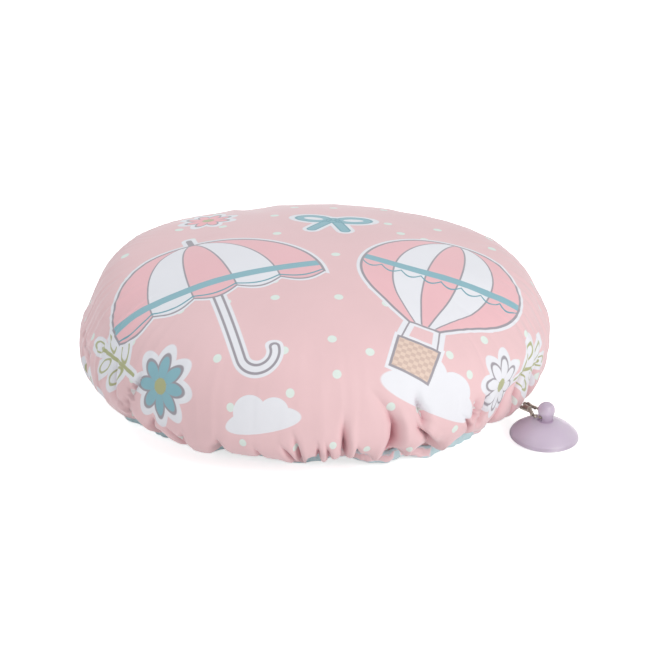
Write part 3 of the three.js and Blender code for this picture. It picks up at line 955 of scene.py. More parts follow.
def cap_surface(angle, length, inward=0.0, spread=1.0):
    """Points of the cap's cloth. angle and length are grids of the same shape."""
    radius, height, out_r, out_z = outline_at(length)
    up = TURN_LENGTH - length
    depth, crease = crease_field(angle, np.maximum(up, 0), radius, spread)
    reach = hem_reach(angle)
    pleat = ruffle(angle)
    push = swell_field(angle, length) + LOBE_PUFF * rise(up, *PUFF_ZONE) - depth
    push += pucker_field(angle, up) + crinkle_field(angle, length)
    push += RUFFLE_DEPTH * rise(up, *HEM_ZONE) * rise(up, *RUFFLE_EDGE) * pleat
    push -= GAP_LIFT * gap_field(angle) * bump_at(up, GAP_MIDDLE, GAP_SPREAD)
    push = push * rise(up, *PUSH_EDGE) - inward
    leg = rise(up, *LEG_ZONE)
    radius = radius + reach * rise(up, *REACH_ZONE)
    radius = radius + out_r * push * (1 - leg) + leg * (LEG_RUFFLE * pleat - inward)
    height = height + out_z * push * (1 - leg) + hem_lift(angle) * rise(up, *HEM_ZONE)
    hang = bump_at(up, DROOP_MIDDLE, DROOP_SPREAD) * rise(up, *HANG_EDGE)
    hang *= (1 - DROOP_IN_CREASE * crease) * (1 - PLEAT_HANG + PLEAT_HANG * pleat)
    height = height - droop_field(angle) * hang
    low = (length > EQUATOR_LENGTH) & (up > 0)
    radius = np.where(low, np.maximum(radius, LEG_RADIUS + reach + LEG_GAP - inward), radius)
    height = np.where(up > -MM, np.maximum(height, FLOOR_GAP + inward), height)
    return round_cap(angle, radius, height)


# The grid's columns bend to follow the creases that come down to the hem, so that a fold's bottom is a
# line of edges. Each of these creases is its foot in degrees and its path.
MOST_LEAN = 9
LONG_CREASES = sorted((path[-1][1], path) for path, *_ in CREASES
                      if path[-1][0] <= LONG_FOOT and abs(path[0][1] - path[-1][1]) < MOST_LEAN)
LEAST_ROOM = 0.35
LEAN_FADE = 30
ROOM_ROUNDS = 60
# How much closer the columns lie at a crease: a long one that the photograph shows, and any other.
LONG_NEED, OTHER_NEED, NEED_WIDTH = 6, 3, 0.45
FINE_POINTS = 14401


def column_lean(up):
    """How many degrees each long crease has moved from its foot at a height in mm, with room kept between."""
    feet, lean = [], []
    for foot, path in LONG_CREASES:
        heights, bearings = zip(*reversed(path))
        fade = 1 - smooth_step((up - heights[-1]) / LEAN_FADE)
        feet.append(foot)
        lean.append((np.interp(up, heights, bearings) - foot) * fade)
    feet, lean = np.array(feet), np.array(lean)
    room = np.diff(feet, append=feet[0] + 360)
    for _ in range(ROOM_ROUNDS):
        short = np.maximum(LEAST_ROOM * room - (room + np.roll(lean, -1) - lean), 0) / 2
        lean = lean - short + np.roll(short, 1)
    return feet, lean


def column_angles(columns):
    """Degrees round the cap, much closer together at the creases, where the cloth turns sharply."""
    fine = np.linspace(-180, 180, FINE_POINTS)
    need = np.ones_like(fine)
    for path, _, width, _ in CREASES:
        foot_height, foot = path[-1]
        long = foot_height <= LONG_FOOT
        middle = foot if long else path[len(path) // 2][1]
        off = np.degrees(turn_between(np.radians(fine), middle))
        need += (LONG_NEED if long and foot < 0 else OTHER_NEED) * bump_at(off, 0, NEED_WIDTH * width)
    total = np.concatenate([[0], np.cumsum(0.5 * (need[1:] + need[:-1]))])
    return np.interp(np.arange(columns) * (total[-1] / columns), total, fine)


# The grid's rows in three zones from the top, each as where it starts on the cloth and its share of the
# rows.
ROW_ZONES = [(0.0, 0.2), (0.55, 0.35), (0.785, 0.45)]


def row_lengths(rows, foot):
    starts = [start * CLOTH_RADIUS for start, _ in ROW_ZONES] + [foot]
    counts = [round(share * rows) for _, share in ROW_ZONES]
    zones = [np.linspace(start, end, count, endpoint=False)
             for start, end, count in zip(starts, starts[1:], counts)]
    return np.concatenate([*zones, [foot]])[1:]


def cap_layer(name, rows, columns, inward, foot, spread=1.0):
    """A sheet of the cap as a grid: one point at the crown's top, then rings down to the foot."""
    lengths = row_lengths(rows, foot)
    base = column_angles(columns)
    angle = np.radians([base + np.interp(base, *column_lean(max(TURN_LENGTH - length, 0) / MM), period=360)
                        for length in lengths])
    length = np.broadcast_to(lengths[:, None], angle.shape)
    points = cap_surface(angle, length, inward, spread).reshape(-1, 3)
    top = Vector((cap_axis.x, cap_axis.y, CROWN_TOP - inward))
    faces = ring_faces(len(lengths), columns)
    last = len(points)
    faces += [(last, column, (column + 1) % columns) for column in range(columns)]
    piece = link_mesh(name, [*points, top], faces)
    _, crease = crease_field(angle, np.maximum(TURN_LENGTH - length, 0), outline_at(length)[0], spread)
    # The fold numbers say how much of a crease each point lies in, and the crown's finish paints shade with them.
    write_numbers(piece.data, "fold", np.append(crease.ravel(), 0))
    flat = np.stack([(length * np.cos(angle)).ravel(), (length * np.sin(angle)).ravel()], axis=1)
    flat = np.concatenate([flat, [[0, 0]]])
    layer = piece.data.uv_layers.new(name="cloth")
    corners = np.empty(len(piece.data.loops), dtype=np.int32)
    piece.data.loops.foreach_get("vertex_index", corners)
    layer.data.foreach_set("uv", flat[corners].astype(np.float32).ravel())
    return piece


# %% [markdown]
# Finishes share a few parts: fine noise, two colours mixed by it, and a chain of bumps.

# %% Finish helpers


def bump_chain(tree, shader, *layers):
    """Bumps one after another: each layer is a height socket with its depth in metres and its strength."""
    normal = None
    for height, distance, strength in layers:
        inputs = {"Height": height, "Distance": distance, "Strength": strength}
        if normal:
            inputs["Normal"] = normal
        normal = add_node(tree, "ShaderNodeBump", inputs).outputs["Normal"]
    feed(tree, shader, {"Normal": normal})


def noise(tree, place, scale, detail, roughness=0.5):
    inputs = {"Vector": place, "Scale": scale, "Detail": detail, "Roughness": roughness}
    return Inked(tree, add_node(tree, "ShaderNodeTexNoise", inputs).outputs[0])


def mottled(tree, place, first, second, scale, detail, roughness=0.5):
    """Two colours, mixed by noise."""
    return blended(tree, noise(tree, place, scale, detail, roughness), first, second)


def weave_height(tree, uv, threads_per_metre):
    """Warp and weft: two sines across each other."""
    x, y = parts_of(tree, uv)
    turns = 2 * math.pi * threads_per_metre
    return (x * turns).sine() * (y * turns).sine()


def radial_noise(tree, uv, round_scale, long_scale, detail):
    """Noise that is fine round the cap and long from crown to hem, for puckers. Also the distance from the
    crown's middle."""
    x, y = parts_of(tree, uv)
    reach = length_of(x, y).most(0.001)
    inputs = {"X": x / reach * round_scale, "Y": y / reach * round_scale, "Z": reach * long_scale}
    vector = add_node(tree, "ShaderNodeCombineXYZ", inputs).outputs[0]
    return noise(tree, vector, 1, detail), reach


# %% [markdown]
# The crown's cloth is satin polyester: soft shine, a very fine weave, and small puckers that run up from
# the hem. The print is its colour, with painted shade that darkens it inside the folds. Sheen stands for
# the fine fuzz that catches light at the edges.

# %% Crown cloth
SHELL_WALL = 0.35 * MM
# Painted shade: the colour that the cloth is multiplied by inside the creases.
FOLD_PAINTED_SHADE = (0.84, 0.6, 0.66, 1)
FADED, FADING = 0.965, (0.3, 0.7)
THREADS_PER_METRE = 1900


def crown_material():
    material, tree, shader = new_material("crown_cloth")
    uv = uv_place(tree, "cloth")
    faded = ranged(tree, noise(tree, uv, scale=22, detail=3), FADED, 1.0, FADING)
    colour = blended(tree, 1, draw_print(tree, PINK), faded, "MULTIPLY")
    fold = point_value(tree, "fold")
    pucker, reach = radial_noise(tree, uv, 9, 22, 2)
    near_hem = (reach * 14 - 2.0).held()
    bump_chain(
        tree, shader,
        (pucker * near_hem, 3.5 * MM, 0.75),
        (noise(tree, uv, scale=90, detail=3), 0.5 * MM, 0.35),
        (weave_height(tree, uv, THREADS_PER_METRE), 0.03 * MM, 0.25),
    )
    feed(tree, shader, {
        # Painted shade: the print is darkened inside the creases by the fold numbers.
        "Base Color": blended(tree, fold * fold, colour, FOLD_PAINTED_SHADE, "MULTIPLY"),
        "Roughness": 0.52,
        "Specular IOR Level": 0.32,
        "Sheen Weight": 0.45,
        "Sheen Roughness": 0.35,
        "Sheen Tint": (0.93, 0.97, 1, 1),
    })
    return material


crown = cap_layer("crown_cloth", rows=74, columns=640, inward=0, foot=CLOTH_RADIUS)
crown = modified(crown, "crown_cloth", "SOLIDIFY", thickness=SHELL_WALL, offset=-1)
finish(crown, crown_material())
dress(crown, "cap", "crown_fabric", "outer_shell")

# %% [markdown]
# The lining is a thin waterproof film. It follows every fold of the crown a millimetre further in, and
# shows only when the cap is turned over: smooth, a little glossy, with fine crumples.

# %% Lining
LINING_DEPTH = 0.95 * MM
LINING_WALL = 0.25 * MM
LINING_SHORT = 0.5 * MM
LINING_SPREAD = 1.5


def lining_material():
    material, tree, shader = new_material("lining_film")
    uv = uv_place(tree, "cloth")
    pucker, reach = radial_noise(tree, uv, 12, 30, 3)
    near_hem = (reach * 12 - 1).held()
    bump_chain(
        tree, shader,
        (pucker * near_hem, 3.0 * MM, 0.6),
        (noise(tree, uv, scale=70, detail=4, roughness=0.6), 1.2 * MM, 0.4),
    )
    feed(tree, shader, {
        "Base Color": mottled(tree, uv, linear(238, 236, 234), linear(226, 226, 228), 30, 3),
        "Roughness": 0.34,
        "Specular IOR Level": 0.45,
    })
    return material


lining_foot = CLOTH_RADIUS - LINING_SHORT
lining = cap_layer("lining_film", 62, 440, LINING_DEPTH, lining_foot, LINING_SPREAD)
lining = modified(lining, "lining_film", "SOLIDIFY", thickness=LINING_WALL, offset=-1)
finish(lining, lining_material())
dress(lining, "cap", "lining_film", "waterproof_lining")

# %% [markdown]
# The hem: a tape folded over the edges of both cloths, with the elastic shut inside. The tape's section is
# a U with a rounded fold at the floor, swept round the pleated hem.

# %% Hem
HEM_RADIUS = 103 * MM
TAPE_TOP = binding_high.z
TAPE_HALF = 2.2 * MM
TAPE_WALL = 0.5 * MM
# The tape's teal and pink are its print, made lighter as painted light to make up for the shade that the lobes
# cast on the hem.
TAPE_TEAL_LIT, TAPE_PINK_LIT = linear(200, 230, 236), linear(254, 222, 226)
TAPE_PUFF = 1.8 * MM
TAPE_WOBBLE = 0.25 * MM
SIDE_POINTS, SIDE_STEP, OUTER_FACE = 5, 0.16, 1.5 * MM
FOLD_STEPS, FOLD_FLATNESS = 8, 0.7
HEM_COLUMNS = 560
ELASTIC_OUT = -0.3 * MM
ELASTIC_WALL = 0.9 * MM
# The tape's pink patches in front: degrees round, and half the length in mm. All lie at one height on the
# tape.
SEEN_PATCHES = [(-170, 6), (-112, 8), (-97, 6), (-83.5, 8), (-73.5, 11), (-60.5, 8), (-33, 4)]
PATCH_HEIGHT, PATCH_HALF = 3.6, 2


def ring_angles(count):
    return np.arange(count) * (2 * math.pi / count)


def hem_radii(angle, out):
    """How far from the cap's axis a point of the hem lies that is out by some metres from its middle."""
    return HEM_RADIUS + hem_reach(angle) + out + LEG_RUFFLE * ruffle(angle)


def tape_swell(angle, height):
    return TAPE_PUFF * math.sin(math.pi * min(height / TAPE_TOP, 1)) * gap_field(angle)


def hem_ring(name, section, wobble=0.0, puff=False):
    """Sweeps a closed section of [distance out, height] round the pleated hem, in metres. With puff, its
    outer face swells out in the gaps between lobes."""
    angle = ring_angles(HEM_COLUMNS)
    wave = np.sin(11 * angle + 2 * np.sin(3 * angle))
    points = []
    for out, height in section:
        radius = hem_radii(angle, out)
        if puff and out > OUTER_FACE:
            radius = radius + tape_swell(angle, height)
        level = height + hem_lift(angle) + wobble * (height / TAPE_TOP) * wave
        points.append(round_cap(angle, radius, level))
    return link_mesh(name, np.concatenate(points), ring_faces(len(section), HEM_COLUMNS, True))


def mark_patches(tape, section):
    """Writes two numbers in mm at every point of the tape: how far it is past the nearest pink patch's end,
    and its height on the tape. The patches at the back are scattered with a fixed seed."""
    dice = random.Random(4)
    hidden = [(degrees + dice.uniform(-3, 3), dice.uniform(3, 9)) for degrees in range(-22, 200, 13)]
    angle = ring_angles(HEM_COLUMNS)
    past = np.min([abs(turn_between(angle, degrees)) * HEM_RADIUS / MM - half
                   for degrees, half in SEEN_PATCHES + hidden], axis=0)
    write_numbers(tape.data, "patch", np.tile(past, len(section)))
    write_numbers(tape.data, "height", np.repeat([height / MM for _, height in section], HEM_COLUMNS))


def tape_section():
    """A U of tape: down the outside, round the fold, up the inside, and back along the inner face."""
    outer = [(TAPE_HALF, TAPE_TOP * (1 - SIDE_STEP * step)) for step in range(SIDE_POINTS)]
    inner = [(-TAPE_HALF + TAPE_WALL, TAPE_TOP)]
    for step in range(FOLD_STEPS + 1):
        turn = math.pi * step / FOLD_STEPS
        level = FOLD_FLATNESS * TAPE_HALF * (1 - math.sin(turn))
        outer.append((TAPE_HALF * math.cos(turn), level))
        inner.append((-(TAPE_HALF - TAPE_WALL) * math.cos(turn), level + TAPE_WALL * math.sin(turn)))
    outer.append((-TAPE_HALF, TAPE_TOP))
    inner.append((TAPE_HALF - TAPE_WALL, TAPE_TOP))
    return outer + inner


def tape_material():
    material, tree, shader = new_material("binding_tape")
    where = object_place(tree)
    ragged = noise(tree, where, scale=170, detail=2) * 5 - 2.5
    off_middle = abs(point_value(tree, "height") - PATCH_HEIGHT) - PATCH_HALF
    oval_patch = off_middle.most(point_value(tree, "patch")) + ragged
    cloth = Print(tree, TAPE_TEAL_LIT)
    cloth.paint(inside(oval_patch, 0.7), MILK)
    cloth.paint(inside(oval_patch), TAPE_PINK_LIT)
    bump_chain(
        tree, shader,
        (noise(tree, where, scale=260, detail=3), 0.5 * MM, 0.5),
        (noise(tree, where, scale=900, detail=2), 0.1 * MM, 0.4),
    )
    feed(tree, shader, {"Base Color": cloth.colour, "Roughness": 0.7, "Sheen Weight": 0.2})
    return material


def elastic_material():
    material, tree, shader = new_material("braided_elastic")
    inputs = {"Vector": object_place(tree), "Scale": 420}
    rib = add_node(tree, "ShaderNodeTexWave", inputs, bands_direction="Z").outputs["Fac"]
    bump_chain(tree, shader, (rib, 0.2 * MM, 0.6))
    feed(tree, shader, {
        "Base Color": blended(tree, rib, linear(214, 211, 206), linear(243, 241, 238)),
        "Roughness": 0.85,
    })
    return material


tape = hem_ring("binding_tape", tape_section(), TAPE_WOBBLE, True)
mark_patches(tape, tape_section())
finish(tape, tape_material())
dress(tape, "cap", "binding_fabric", "hem_binding")

elastic_low, elastic_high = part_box("hem_elastic")
elastic_foot = elastic_low.z + TAPE_WALL
elastic = hem_ring("braided_elastic", [
    (ELASTIC_OUT, elastic_high.z), (ELASTIC_OUT, elastic_foot),
    (ELASTIC_OUT - ELASTIC_WALL, elastic_foot), (ELASTIC_OUT - ELASTIC_WALL, elastic_high.z),
])
finish(elastic, elastic_material())
dress(elastic, "cap", "elastic", "hem_elastic")

# %% [markdown]
# What repeats comes from one Geometry Nodes tree: a shape stands on every point of a small mesh, turned to
# the point's own axis and stretched along it. Balls, links and stitches all use it. Realize Instances
# turns the result into real faces, which the export needs.

# %% Repeats


def repeat_tree():
    tree = bpy.data.node_groups.new("shape_on_points", "GeometryNodeTree")
    for name, kind in (("Geometry", "Geometry"), ("Shape", "Object"), ("Finish", "Material")):
        tree.interface.new_socket(name, in_out="INPUT", socket_type="NodeSocket" + kind)
    tree.interface.new_socket("Geometry", in_out="OUTPUT", socket_type="NodeSocketGeometry")
    start, end = tree.nodes.new("NodeGroupInput"), tree.nodes.new("NodeGroupOutput")
    shape = add_node(tree, "GeometryNodeObjectInfo", {"Object": start.outputs["Shape"]})
    axis, stretch = [
        add_node(tree, "GeometryNodeInputNamedAttribute", {"Name": name}, data_type=kind).outputs["Attribute"]
        for name, kind in (("axis", "FLOAT_VECTOR"), ("stretch", "FLOAT"))
    ]
    turn = add_node(tree, "FunctionNodeAlignRotationToVector", {"Vector": axis})
    size = add_node(tree, "ShaderNodeCombineXYZ", {"X": 1, "Y": 1, "Z": stretch})
    place = add_node(tree, "GeometryNodeInstanceOnPoints", {
        "Points": start.outputs["Geometry"],
        "Instance": shape.outputs["Geometry"],
        "Rotation": turn.outputs["Rotation"],
        "Scale": size.outputs["Vector"],
    })
    real = add_node(tree, "GeometryNodeRealizeInstances", {"Geometry": place.outputs["Instances"]})
    paint = add_node(tree, "GeometryNodeSetMaterial", {
        "Geometry": real.outputs["Geometry"],
        "Material": start.outputs["Finish"],
    })
    feed(tree, end, {"Geometry": paint.outputs["Geometry"]})
    return tree


REPEAT = repeat_tree()
REPEAT_INPUTS = {item.name: item.identifier for item in REPEAT.interface.items_tree if item.in_out == "INPUT"}


def repeated(name, shape, finish, points, axes, stretches=None):
    """One mesh with the shape on every point."""
    mesh = bpy.data.meshes.new(name + "_points")
    mesh.from_pydata([tuple(point) for point in points], [], [])
    turn = mesh.attributes.new("axis", "FLOAT_VECTOR", "POINT")
    turn.data.foreach_set("vector", [value for axis in axes for value in axis])
    write_numbers(mesh, "stretch", stretches or [1.0] * len(points))
    holder = new_object(name + "_points", mesh)
    modifier = holder.modifiers.new("repeat", "NODES")
    modifier.node_group = REPEAT
    modifier[REPEAT_INPUTS["Shape"]] = shape
    modifier[REPEAT_INPUTS["Finish"]] = finish
    made = flat_copy(holder, name)
    made.data.shade_smooth()
    return made


def lathe(name, profile, segments):
    """Turns a profile of [radius, height] about Z. Points on the axis become one point."""
    points, rows = [], []
    for radius, height in profile:
        count = 1 if radius < 1e-7 else segments
        rows.append(list(range(len(points), len(points) + count)))
        for step in range(count):
            angle = 2 * math.pi * step / segments
            points.append((radius * math.cos(angle), radius * math.sin(angle), height))
    faces = []
    for low, high in zip(rows, rows[1:]):
        for step in range(segments):
            right = (step + 1) % segments
            if len(low) == 1 and len(high) > 1:
                faces.append((low[0], high[right], high[step]))
            elif len(high) == 1 and len(low) > 1:
                faces.append((low[step], low[right], high[0]))
            elif len(low) > 1:
                faces.append((low[step], low[right], high[right], high[step]))
    piece = link_mesh(name, points, faces)
    shell = bmesh.new()
    shell.from_mesh(piece.data)
    bmesh.ops.remove_doubles(shell, verts=shell.verts, dist=1e-8)
    bmesh.ops.recalc_face_normals(shell, faces=shell.faces)
    shell.to_mesh(piece.data)
    shell.free()
    return piece


# %% [markdown]
# The ball chain. Each ball is a rolled steel bead with a hole at each pole, and a dumbbell link of wire
# joins it to the next. The balls' middles are the solid model's, and a ball's axis points from the one
# before to the one after. Bodies with their own joints get meshes of their own.

# %% Chain
BALL_RADIUS, BALL_WALL, BALL_HOLE = 1.2 * MM, 0.22 * MM, 0.45 * MM
LINK_WIRE, LINK_HEAD, HEAD_SEAT = 0.2 * MM, 0.52 * MM, 0.55 * MM
LINK_LENGTH = 2.3 * MM


def steel_material():
    material, tree, shader = new_material("chain_steel")
    where = object_place(tree)
    bump_chain(tree, shader, (noise(tree, where, scale=2600, detail=2), 0.05 * MM, 0.25))
    feed(tree, shader, {
        "Base Color": mottled(tree, where, linear(196, 188, 178), linear(132, 120, 108), 700, 4, 0.65),
        "Roughness": ranged(tree, noise(tree, where, scale=1500, detail=2), 0.18, 0.42),
        "Metallic": 1,
    })
    return material


def ball_arc(radius, steps):
    """The section of a ball from hole to hole, as [distance from the axis, height]."""
    start = math.asin(BALL_HOLE / radius)
    return [(radius * math.sin(angle), -radius * math.cos(angle))
            for angle in np.linspace(start, math.pi - start, steps + 1)]


def bead_profile():
    """Outside from pole to pole, round each hole's rolled rim, and back along the inside."""
    outside, inside_face = ball_arc(BALL_RADIUS, 12), ball_arc(BALL_RADIUS - BALL_WALL, 6)
    return [*outside, *reversed(inside_face), outside[0]]


def link_profile():
    half, cheek = 0.18 * MM, 0.7 * LINK_HEAD
    return [(0, -half), (cheek, -half), (LINK_HEAD, 0), (LINK_WIRE, half), (LINK_WIRE, LINK_LENGTH - half),
            (LINK_HEAD, LINK_LENGTH), (cheek, LINK_LENGTH + half), (0, LINK_LENGTH + half)]


def middle_of(node):
    low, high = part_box(node)
    return (low + high) / 2


steel = steel_material()
bead = lathe("bead_shape", bead_profile(), segments=24)
wire = lathe("link_shape", link_profile(), segments=12)
ball_total = sum(name.startswith("ball_") for name in frame["nodes"])
ball_middles = [middle_of(f"ball_{number + 1:02d}") for number in range(ball_total)]
ball_axes = [(ball_middles[(number + 1) % ball_total] - ball_middles[number - 1]).normalized()
             for number in range(ball_total)]
print("chain of", ball_total, "balls, pitch", round((ball_middles[1] - ball_middles[0]).length, 5))


def links_between(numbers):
    """Where each link starts, its direction and its stretch."""
    starts, directions, stretches = [], [], []
    for number in numbers:
        after = (number + 1) % ball_total
        start = ball_middles[number] + ball_axes[number] * HEAD_SEAT
        way = ball_middles[after] - ball_axes[after] * HEAD_SEAT - start
        starts.append(start)
        directions.append(way.normalized())
        stretches.append(way.length / LINK_LENGTH)
    return starts, directions, stretches


def numbers_of(members, kind):
    """The numbers, from 0, of a body's balls or links."""
    return [int(name[5:]) - 1 for name in members if name.startswith(kind)]


for body, members in BODIES.items():
    balls, links_here = numbers_of(members, "ball_"), numbers_of(members, "link_")
    if balls:
        beads = repeated(body + "_beads", bead, steel, [ball_middles[n] for n in balls],
                         [ball_axes[n] for n in balls])
        dress(beads, body, "chain_steel", *[f"ball_{n + 1:02d}" for n in balls])
        wires = repeated(body + "_links", wire, steel, *links_between(links_here))
        dress(wires, body, "chain_steel", *[f"link_{n + 1:02d}" for n in links_here])
bpy.data.objects.remove(bead)
bpy.data.objects.remove(wire)

# %% [markdown]
# The clasp is a short sleeve of the same steel. Its slot lets the links' wires in, and a round window in
# its side lets a ball in. A boolean cuts both out of a turned sleeve.

# %% Clasp
CLASP_BODY = next(body for body, members in BODIES.items() if "chain_clasp" in members)
CLASP_BALLS = (19, 20)
CLASP_BORE, CLASP_WALL, CLASP_SLOT, CLASP_MOUTH = 1.5 * MM, 0.3 * MM, 0.9 * MM, 0.75 * MM


def cut_away(piece, cutter, name):
    made = modified(piece, name, "BOOLEAN", operation="DIFFERENCE", solver="EXACT", object=cutter)
    bpy.data.objects.remove(cutter)
    return made


def soften(piece, width, name):
    """Rounds the sharp edges of a cut piece a little."""
    sharp = math.radians(40)
    return modified(piece, name, "BEVEL", width=width, segments=2, limit_method="ANGLE", angle_limit=sharp)


def block(name, low, high):
    corners = [(x, y, z) for x in (low[0], high[0]) for y in (low[1], high[1]) for z in (low[2], high[2])]
    faces = [(0, 1, 3, 2), (4, 6, 7, 5), (0, 4, 5, 1), (2, 3, 7, 6), (0, 2, 6, 4), (1, 5, 7, 3)]
    return link_mesh(name, corners, faces)


def rod(name, radius, low, high, segments):
    return lathe(name, [(0, low), (radius, low), (radius, high), (0, high)], segments)


def settle(piece, side, top, along, origin):
    """Moves a piece's points into the frame, so that its object stays at the origin."""
    matrix = Matrix((side, top, along)).transposed().to_4x4()
    matrix.translation = origin
    piece.data.transform(matrix)


def print_spans(node, piece):
    """The dressed piece's box, in metres, printed under the solid's name."""
    points = np.array([vertex.co for vertex in piece.data.vertices])
    print(node, "mesh ", [round(float(v), 4) for v in (*points.min(axis=0), *points.max(axis=0))])


clasp_ends = [ball_middles[number] for number in CLASP_BALLS]
clasp_way = (clasp_ends[1] - clasp_ends[0]).normalized()
half = (clasp_ends[1] - clasp_ends[0]).length / 2 + CLASP_BORE + CLASP_WALL
out = CLASP_BORE + CLASP_WALL
shoulder = 0.45 * MM
inner_shoulder = 0.5 * shoulder
inner_half = half - CLASP_WALL
clasp = lathe("clasp", [
    (CLASP_MOUTH, -half), (out - shoulder, -half), (out, -half + shoulder), (out, half - shoulder),
    (out - shoulder, half), (CLASP_MOUTH, half), (CLASP_MOUTH, inner_half),
    (CLASP_BORE - inner_shoulder, inner_half), (CLASP_BORE, inner_half - inner_shoulder),
    (CLASP_BORE, inner_shoulder - inner_half), (CLASP_BORE - inner_shoulder, -inner_half),
    (CLASP_MOUTH, -inner_half), (CLASP_MOUTH, -half),
], 40)
slot_cut = block("slot", (0, -CLASP_SLOT / 2, -2 * half), (2 * out, CLASP_SLOT / 2, 2 * half))
clasp = cut_away(clasp, slot_cut, "clasp")
window = rod("window", CLASP_BORE - CLASP_WALL, 0, 2 * out, segments=32)
window.data.transform(Matrix.Rotation(math.pi / 2, 4, "Y"))
clasp = cut_away(clasp, window, "clasp")
chain_up = (ball_middles[ball_total // 2] - ball_middles[0]).normalized()
swing_axis = Vector(frame["joints"][0]["axis"])
chain_normal = chain_up.cross(swing_axis)
clasp_side = clasp_way.cross(chain_normal).normalized()
settle(clasp, clasp_side, clasp_way.cross(clasp_side), clasp_way, (clasp_ends[0] + clasp_ends[1]) / 2)
clasp = soften(clasp, 0.06 * MM, "clasp")
finish(clasp, steel)
dress(clasp, CLASP_BODY, "chain_steel", "chain_clasp")
print_spans("chain_clasp", clasp)

# %% [markdown]
# The suction cup is one moulding of soft lilac vinyl: a thin flared bell, a neck and a round knob with a
# cross hole for the chain. It is turned as the maker's tool turns it, and a boolean drills the hole. The
# vinyl lets some light through, so it has transmission, and a fine haze of wear keeps it from looking like
# glass.

# %% Suction cup
CUP_RADIUS, CUP_RIM, CUP_DOME, CUP_HOLLOW, CUP_LAND = 20 * MM, 0.9 * MM, 10.2 * MM, 3.6 * MM, 1.2 * MM
NECK_RADIUS, COLLAR_RADIUS, KNOB_RADIUS, KNOB_HEIGHT = 3.9 * MM, 4.6 * MM, 5 * MM, 16.6 * MM
HOLE_RADIUS, HOLE_HEIGHT = 2.05 * MM, 12.6 * MM
CUP_TILT = math.radians(6)
RIM_FULLNESS, NECK_FULLNESS, RIM_SHARE = 0.76, 1.0, 0.6
# The last of these is painted shade: the colour that darkens the vinyl in the groove under the knob.
GROOVE_UP, GROOVE_WIDTH, GROOVE_PAINTED_SHADE = 0.5 * MM, 0.5 * MM, (0.66, 0.54, 0.66, 1)
HOLLOW_STEPS, BELL_STEPS, KNOB_STEPS = 24, 30, 24


def bell_height(radius):
    """The bell is fuller near its rim, and nearer its neck it leaves the chain's clasp its room."""
    share = (CUP_RADIUS - radius) / (CUP_RADIUS - NECK_RADIUS)
    power = RIM_FULLNESS + (NECK_FULLNESS - RIM_FULLNESS) * min(share / RIM_SHARE, 1)
    return CUP_RIM + (CUP_DOME - CUP_RIM) * math.sin(share * math.pi / 2) ** power


def cup_profile():
    """From the hollow's middle out to the rim, then up the bell, collar and neck, and round the knob."""
    reach = CUP_RADIUS - CUP_LAND
    hollow = [(radius, CUP_HOLLOW * math.cos(radius / reach * math.pi / 2))
              for radius in np.linspace(0, reach, HOLLOW_STEPS + 1)]
    rim = 0.3 * MM
    lip = [(CUP_RADIUS - rim, 0), (CUP_RADIUS, rim), (CUP_RADIUS, CUP_RIM - rim), (CUP_RADIUS - rim, CUP_RIM)]
    bell = [(radius, bell_height(radius))
            for radius in np.linspace(CUP_RADIUS, COLLAR_RADIUS, BELL_STEPS + 1)[1:]]
    neck = [(COLLAR_RADIUS, CUP_DOME + 0.1 * MM), (COLLAR_RADIUS - 0.2 * MM, CUP_DOME + 0.5 * MM),
            (NECK_RADIUS + 0.1 * MM, CUP_DOME + 0.55 * MM), (NECK_RADIUS, CUP_DOME + 0.3 * MM),
            (NECK_RADIUS, CUP_DOME + 0.8 * MM)]
    start = -math.acos(NECK_RADIUS / KNOB_RADIUS)
    knob = [(KNOB_RADIUS * math.cos(angle), KNOB_HEIGHT + KNOB_RADIUS * math.sin(angle))
            for angle in np.linspace(start, math.pi / 2, KNOB_STEPS + 1)[1:-1]]
    return hollow + lip + bell + neck + knob + [(0, KNOB_HEIGHT + KNOB_RADIUS)]


def mark_painted_groove_shade(piece):
    """Writes how near each point lies to the groove under the knob, where the finish paints shade."""
    near = []
    for x, y, z in [vertex.co for vertex in piece.data.vertices]:
        share = math.exp(-((z - CUP_DOME - GROOVE_UP) / GROOVE_WIDTH) ** 2)
        near.append(share if math.hypot(x, y) < COLLAR_RADIUS + GROOVE_WIDTH else 0)
    write_numbers(piece.data, "groove", near)


def vinyl_material():
    material, tree, shader = new_material("cup_vinyl")
    where = object_place(tree)
    tone = mottled(tree, where, linear(232, 221, 236), linear(222, 207, 228), 90, 2)
    bump_chain(tree, shader, (noise(tree, where, scale=160, detail=2), 0.12 * MM, 0.3))
    feed(tree, shader, {
        # Painted shade: the vinyl is darker in the groove under the knob.
        "Base Color": blended(tree, point_value(tree, "groove"), tone, GROOVE_PAINTED_SHADE, "MULTIPLY"),
        "Roughness": ranged(tree, noise(tree, where, scale=260, detail=3), 0.24, 0.4),
        "IOR": 1.5,
        "Transmission Weight": 0.45,
        "Coat Weight": 0.5,
        "Coat Roughness": 0.12,
        "Subsurface Weight": 0.3,
        "Subsurface Radius": (0.004, 0.003, 0.004),
        "Subsurface Scale": 1,
    })
    return material


